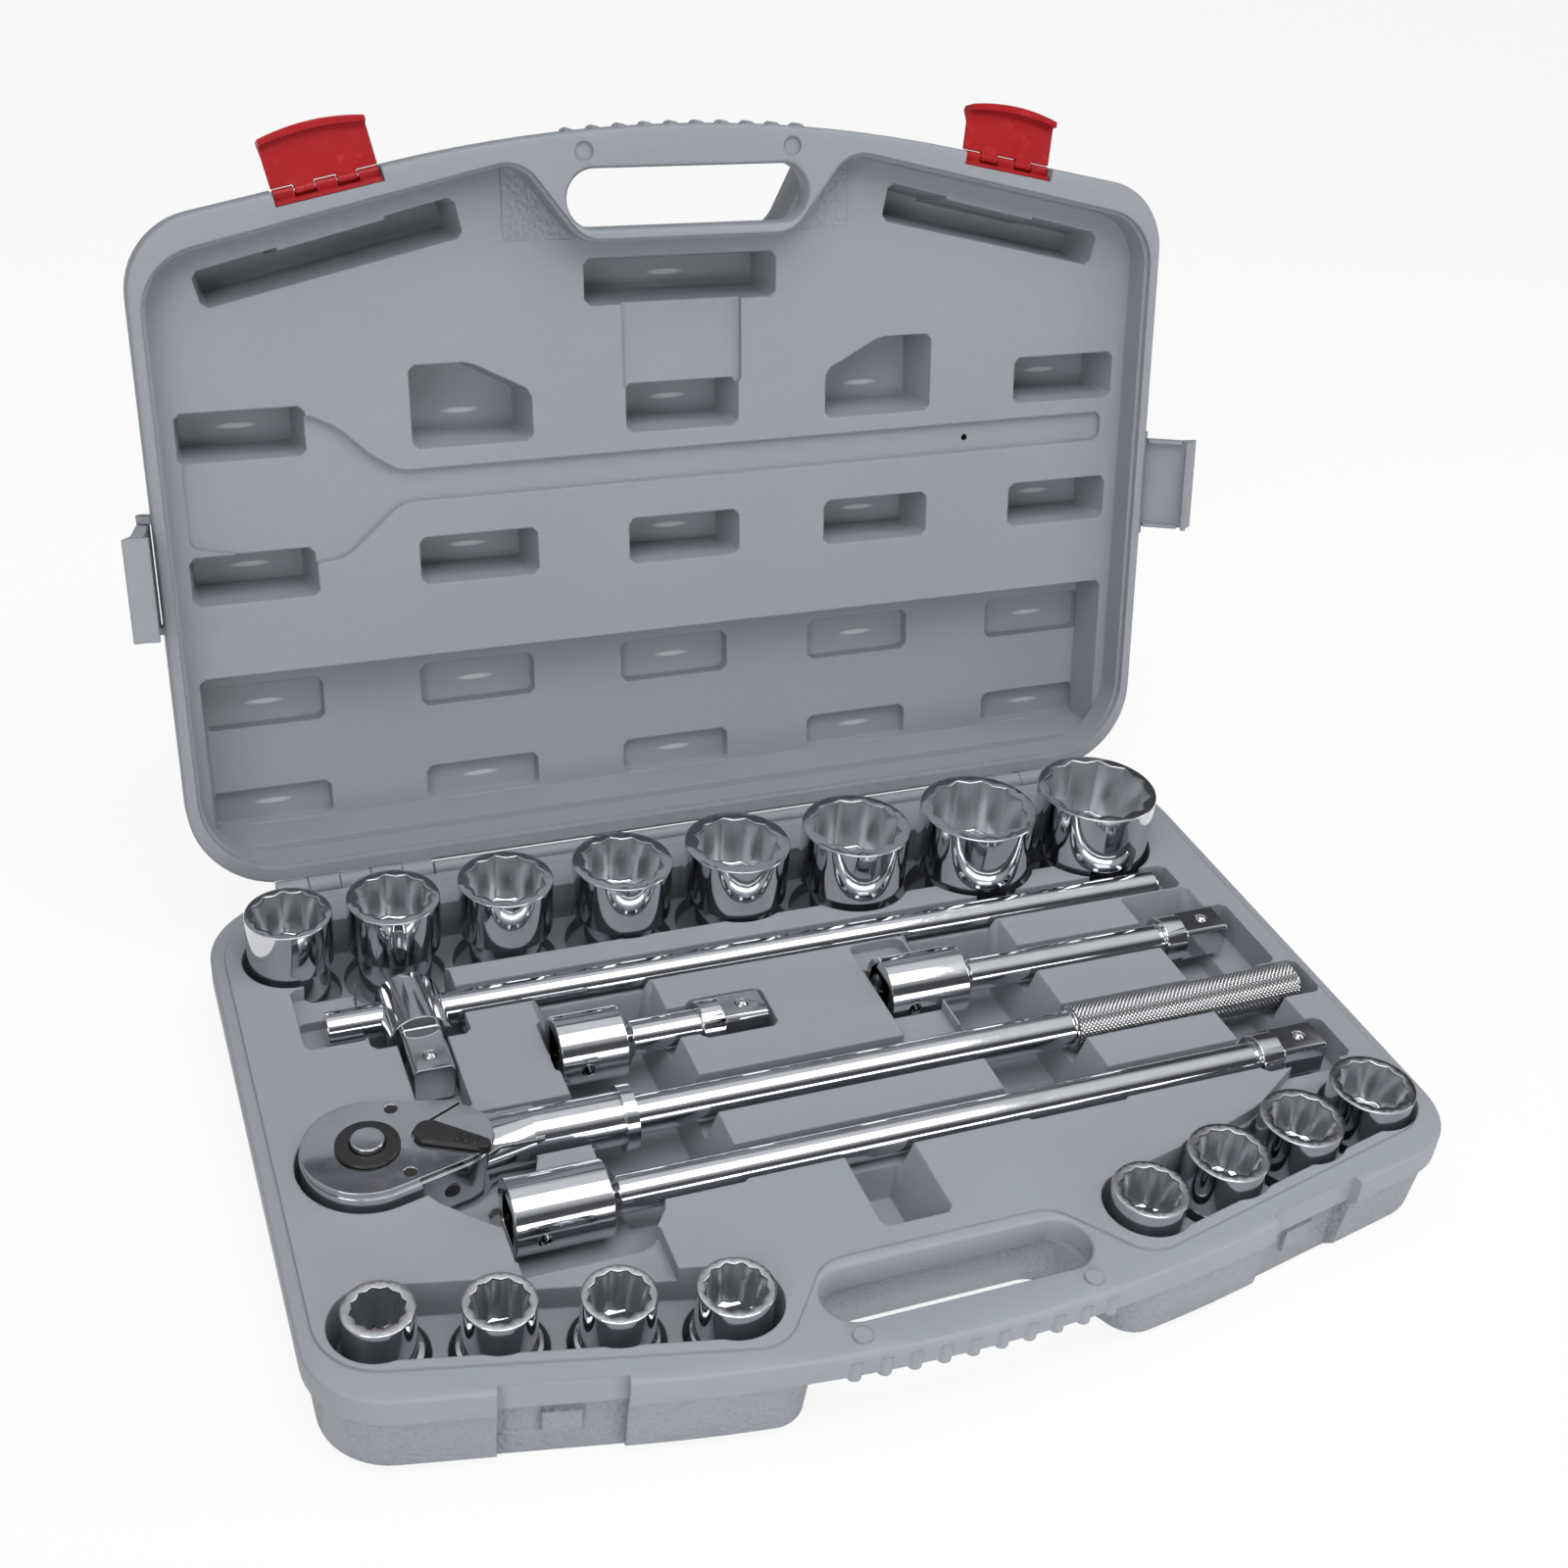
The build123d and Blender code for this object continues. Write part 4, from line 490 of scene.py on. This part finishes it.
# Painted light: bright colour at the diamonds' tips is a painted highlight, and dark colour at their roots a
# painted shade.
tip_highlight = radius.over(GRIP_ROOT + 0.4 * KNURL_HEIGHT, 0.4 * KNURL_HEIGHT)
feed(shader, "Base Color", tip_highlight.mix(GROOVE_PAINTED_SHADE, TIP_PAINTED_HIGHLIGHT))
feed(shader, "Roughness", 0.34 - 0.14 * tip_highlight)
knurl = primitive(
    "ratchet_knurl",
    bpy.ops.mesh.primitive_cylinder_add,
    vertices=KNURL_AROUND,
    radius=GRIP_ROOT,
    depth=GRIP_END - GRIP_START - KNURL_INSET,
    end_fill_type="NOTHING",
    location=grip_middle,
    rotation=ALONG_X,
)


def pick_edges(piece, wanted):
    """Selects the edges of a mesh that a test picks, and goes to edit mode."""
    bpy.ops.object.mode_set(mode="EDIT")
    bpy.ops.mesh.select_mode(type="EDGE")
    bpy.ops.mesh.select_all(action="DESELECT")
    bpy.ops.object.mode_set(mode="OBJECT")
    for edge in piece.data.edges:
        edge.select = wanted(edge)
    bpy.ops.object.mode_set(mode="EDIT")


def runs_along(edge):
    ends = [knurl.data.vertices[n].co.x for n in edge.vertices]
    return abs(ends[0] - ends[1]) > GRIP_ROOT


pick_edges(knurl, runs_along)
bpy.ops.mesh.subdivide(number_cuts=KNURL_ALONG - 1)
bpy.ops.object.mode_set(mode="OBJECT")
corners = len(knurl.data.vertices)
bpy.ops.object.mode_set(mode="EDIT")
bpy.ops.mesh.select_all(action="SELECT")
bpy.ops.mesh.poke()
pick_edges(knurl, lambda edge: max(edge.vertices) < corners)
bpy.ops.mesh.dissolve_edges(use_verts=False)
bpy.ops.mesh.select_mode(type="FACE")
bpy.ops.mesh.select_all(action="SELECT")
bpy.ops.mesh.poke(offset=KNURL_HEIGHT)
bpy.ops.mesh.select_mode(type="EDGE")
bpy.ops.mesh.select_all(action="DESELECT")
bpy.ops.mesh.select_non_manifold(extend=False)
bpy.ops.mesh.extrude_edges_move()
bpy.ops.transform.resize(value=KNURL_END, center_override=grip_middle)
bpy.ops.mesh.select_all(action="SELECT")
bpy.ops.mesh.fill_holes(sides=0)
bpy.ops.object.mode_set(mode="OBJECT")
dress(knurl, rolled, "ratchet")


# Cover screws. Two black oxide screws in the cover plate.
BLACK_DARK = (0.006, 0.006, 0.007)
BLACK_LIGHT = (0.020, 0.020, 0.021)
black, shader, place = material("black")
dust = place.noise(240.0, 4.0)
feed(shader, "Base Color", dust.mix(BLACK_DARK, BLACK_LIGHT))
feed(shader, "Roughness", 0.26 + 0.24 * dust)
feed(shader, "Normal", dust.bump(0.00004, 0.6))
refined("cover_screws", black)


# Ring round the release button and plug in the head's side, both black.
refined("drive_ring", black, rounding=0.0004, limit=60)
refined("neck_plug", black, rounding=0.0004, limit=60)


# Release button. Turned steel, bright, with a rounded edge; it presses down through the ring.
refined("release_button", chrome, rounding=0.0009, limit=60)


# Reversing lever. Black, with three ribs across its thumb end so that it doesn't slip.
LEVER_PIVOT = (-0.195, -0.0215)
LEVER_TURN = math.radians(-34)
LEVER_TOP = 0.0608
RIB_PLACES = (0.0135, 0.0175, 0.0215)
RIB_SIZE = (0.0016, 0.0062, 0.0016)
RIB_ROUNDING = 0.0005
refined("reversing_lever", black, rounding=0.0006, limit=50)
for n, reach in enumerate(RIB_PLACES):
    rib = primitive(
        f"lever_rib_{n + 1}",
        bpy.ops.mesh.primitive_cube_add,
        size=1,
        location=(
            LEVER_PIVOT[0] + reach * math.cos(LEVER_TURN),
            LEVER_PIVOT[1] + reach * math.sin(LEVER_TURN),
            LEVER_TOP,
        ),
        rotation=(0, 0, LEVER_TURN),
        scale=RIB_SIZE,
    )
    bpy.ops.object.mode_set(mode="EDIT")
    bpy.ops.mesh.select_all(action="SELECT")
    bpy.ops.mesh.bevel(offset=RIB_ROUNDING, segments=2)
    bpy.ops.object.mode_set(mode="OBJECT")
    bpy.ops.object.shade_smooth_by_angle(angle=math.radians(50))
    dress(rib, black, "lever")


# Floor. A wide white sheet, bright to the camera and in the metal, on which a faint shadow stays.
FLOOR_SIZE = 8
FLOOR_GLOW = 0.88
floor = primitive("floor", bpy.ops.mesh.primitive_plane_add, size=FLOOR_SIZE)
paper, shader, place = material("paper")
shader.inputs["Base Color"].default_value = (0.8, 0.8, 0.8, 1)
shader.inputs["Roughness"].default_value = 0.8
seen = FLOOR_GLOW * place.node("LightPath", out=0).either(place.node("LightPath", out=3))
white = place.node("Emission", inputs={"Color": (1, 1, 1, 1), "Strength": 1.0})
sheet = Shade(place.tree, shader.outputs[0])
both = place.node("MixShader", inputs={0: seen, 1: sheet, 2: white})
place.tree.links.new(both.socket, place.tree.nodes["Material Output"].inputs["Surface"])
floor.data.materials.append(paper)


# Studio. A bright ceiling over dark walls, so that the chrome has black and white bands; white to the camera.
CEILING = (0.86, 0.87, 0.89)
CEILING_START = 0.72
WALL_LEFT = (0.20, 0.205, 0.215)
WALL_RIGHT = (0.035, 0.036, 0.04)
world = bpy.data.worlds.new("studio")
bpy.context.scene.world = world
world.use_nodes = True
sky = Shade(world.node_tree, world.node_tree.nodes["Background"].outputs[0])
ray = sky.node("LightPath", out=0)
heading = sky.node("TexCoord", out=0)
to_right, _, up = axes_of(heading)
ceiling = up.over(CEILING_START, 0.12)
wall = (0.5 + 0.5 * to_right).mix(WALL_LEFT, WALL_RIGHT)
glow = ceiling.mix(wall, CEILING)
room = sky.node("Background", inputs={"Color": glow, "Strength": 1.0})
plain = sky.node("Background", inputs={"Color": (1, 1, 1, 1), "Strength": 1.0})
shown = sky.node("MixShader", inputs={0: ray, 1: room, 2: plain})
world.node_tree.links.new(shown.socket, world.node_tree.nodes["World Output"].inputs["Surface"])


def softbox(name, place, aim, size, power):
    """A soft area light at a place, turned to a point."""
    lamp = bpy.data.lights.new(name, "AREA")
    lamp.shape = "RECTANGLE"
    lamp.size, lamp.size_y = size
    lamp.energy = power
    made = bpy.data.objects.new(name, lamp)
    bpy.context.scene.collection.objects.link(made)
    made.location = place
    made.rotation_euler = (Vector(aim) - Vector(place)).to_track_quat("-Z", "Y").to_euler()


softbox("overhead", (0.0, -0.4, 1.55), (0, 0, 0.05), (1.5, 1.0), 15.5)
softbox("left_front", (-1.5, -1.3, 1.1), (0, 0, 0.1), (0.9, 0.9), 11.5)
softbox("front", (0.05, -0.85, 0.2), (0, -0.18, 0.04), (1.1, 0.2), 3.0)
softbox("right", (1.7, -0.4, 0.9), (0, 0, 0.1), (0.5, 1.0), 8)


# Camera at the photo's place and angle.
LENS_LENGTH = 45.21
SENSOR_WIDTH = 36.0
CAMERA_PLACE = (-0.32278, -0.64795, 0.66121)
CAMERA_TURN = (56.851, -4.581, -21.053)
lens = bpy.data.cameras.new("photo")
lens.lens = LENS_LENGTH
lens.sensor_width = SENSOR_WIDTH
camera = bpy.data.objects.new("photo", lens)
camera.location = CAMERA_PLACE
camera.rotation_euler = [math.radians(angle) for angle in CAMERA_TURN]
bpy.context.scene.collection.objects.link(camera)
bpy.context.scene.camera = camera
bpy.context.scene.view_settings.view_transform = "Standard"
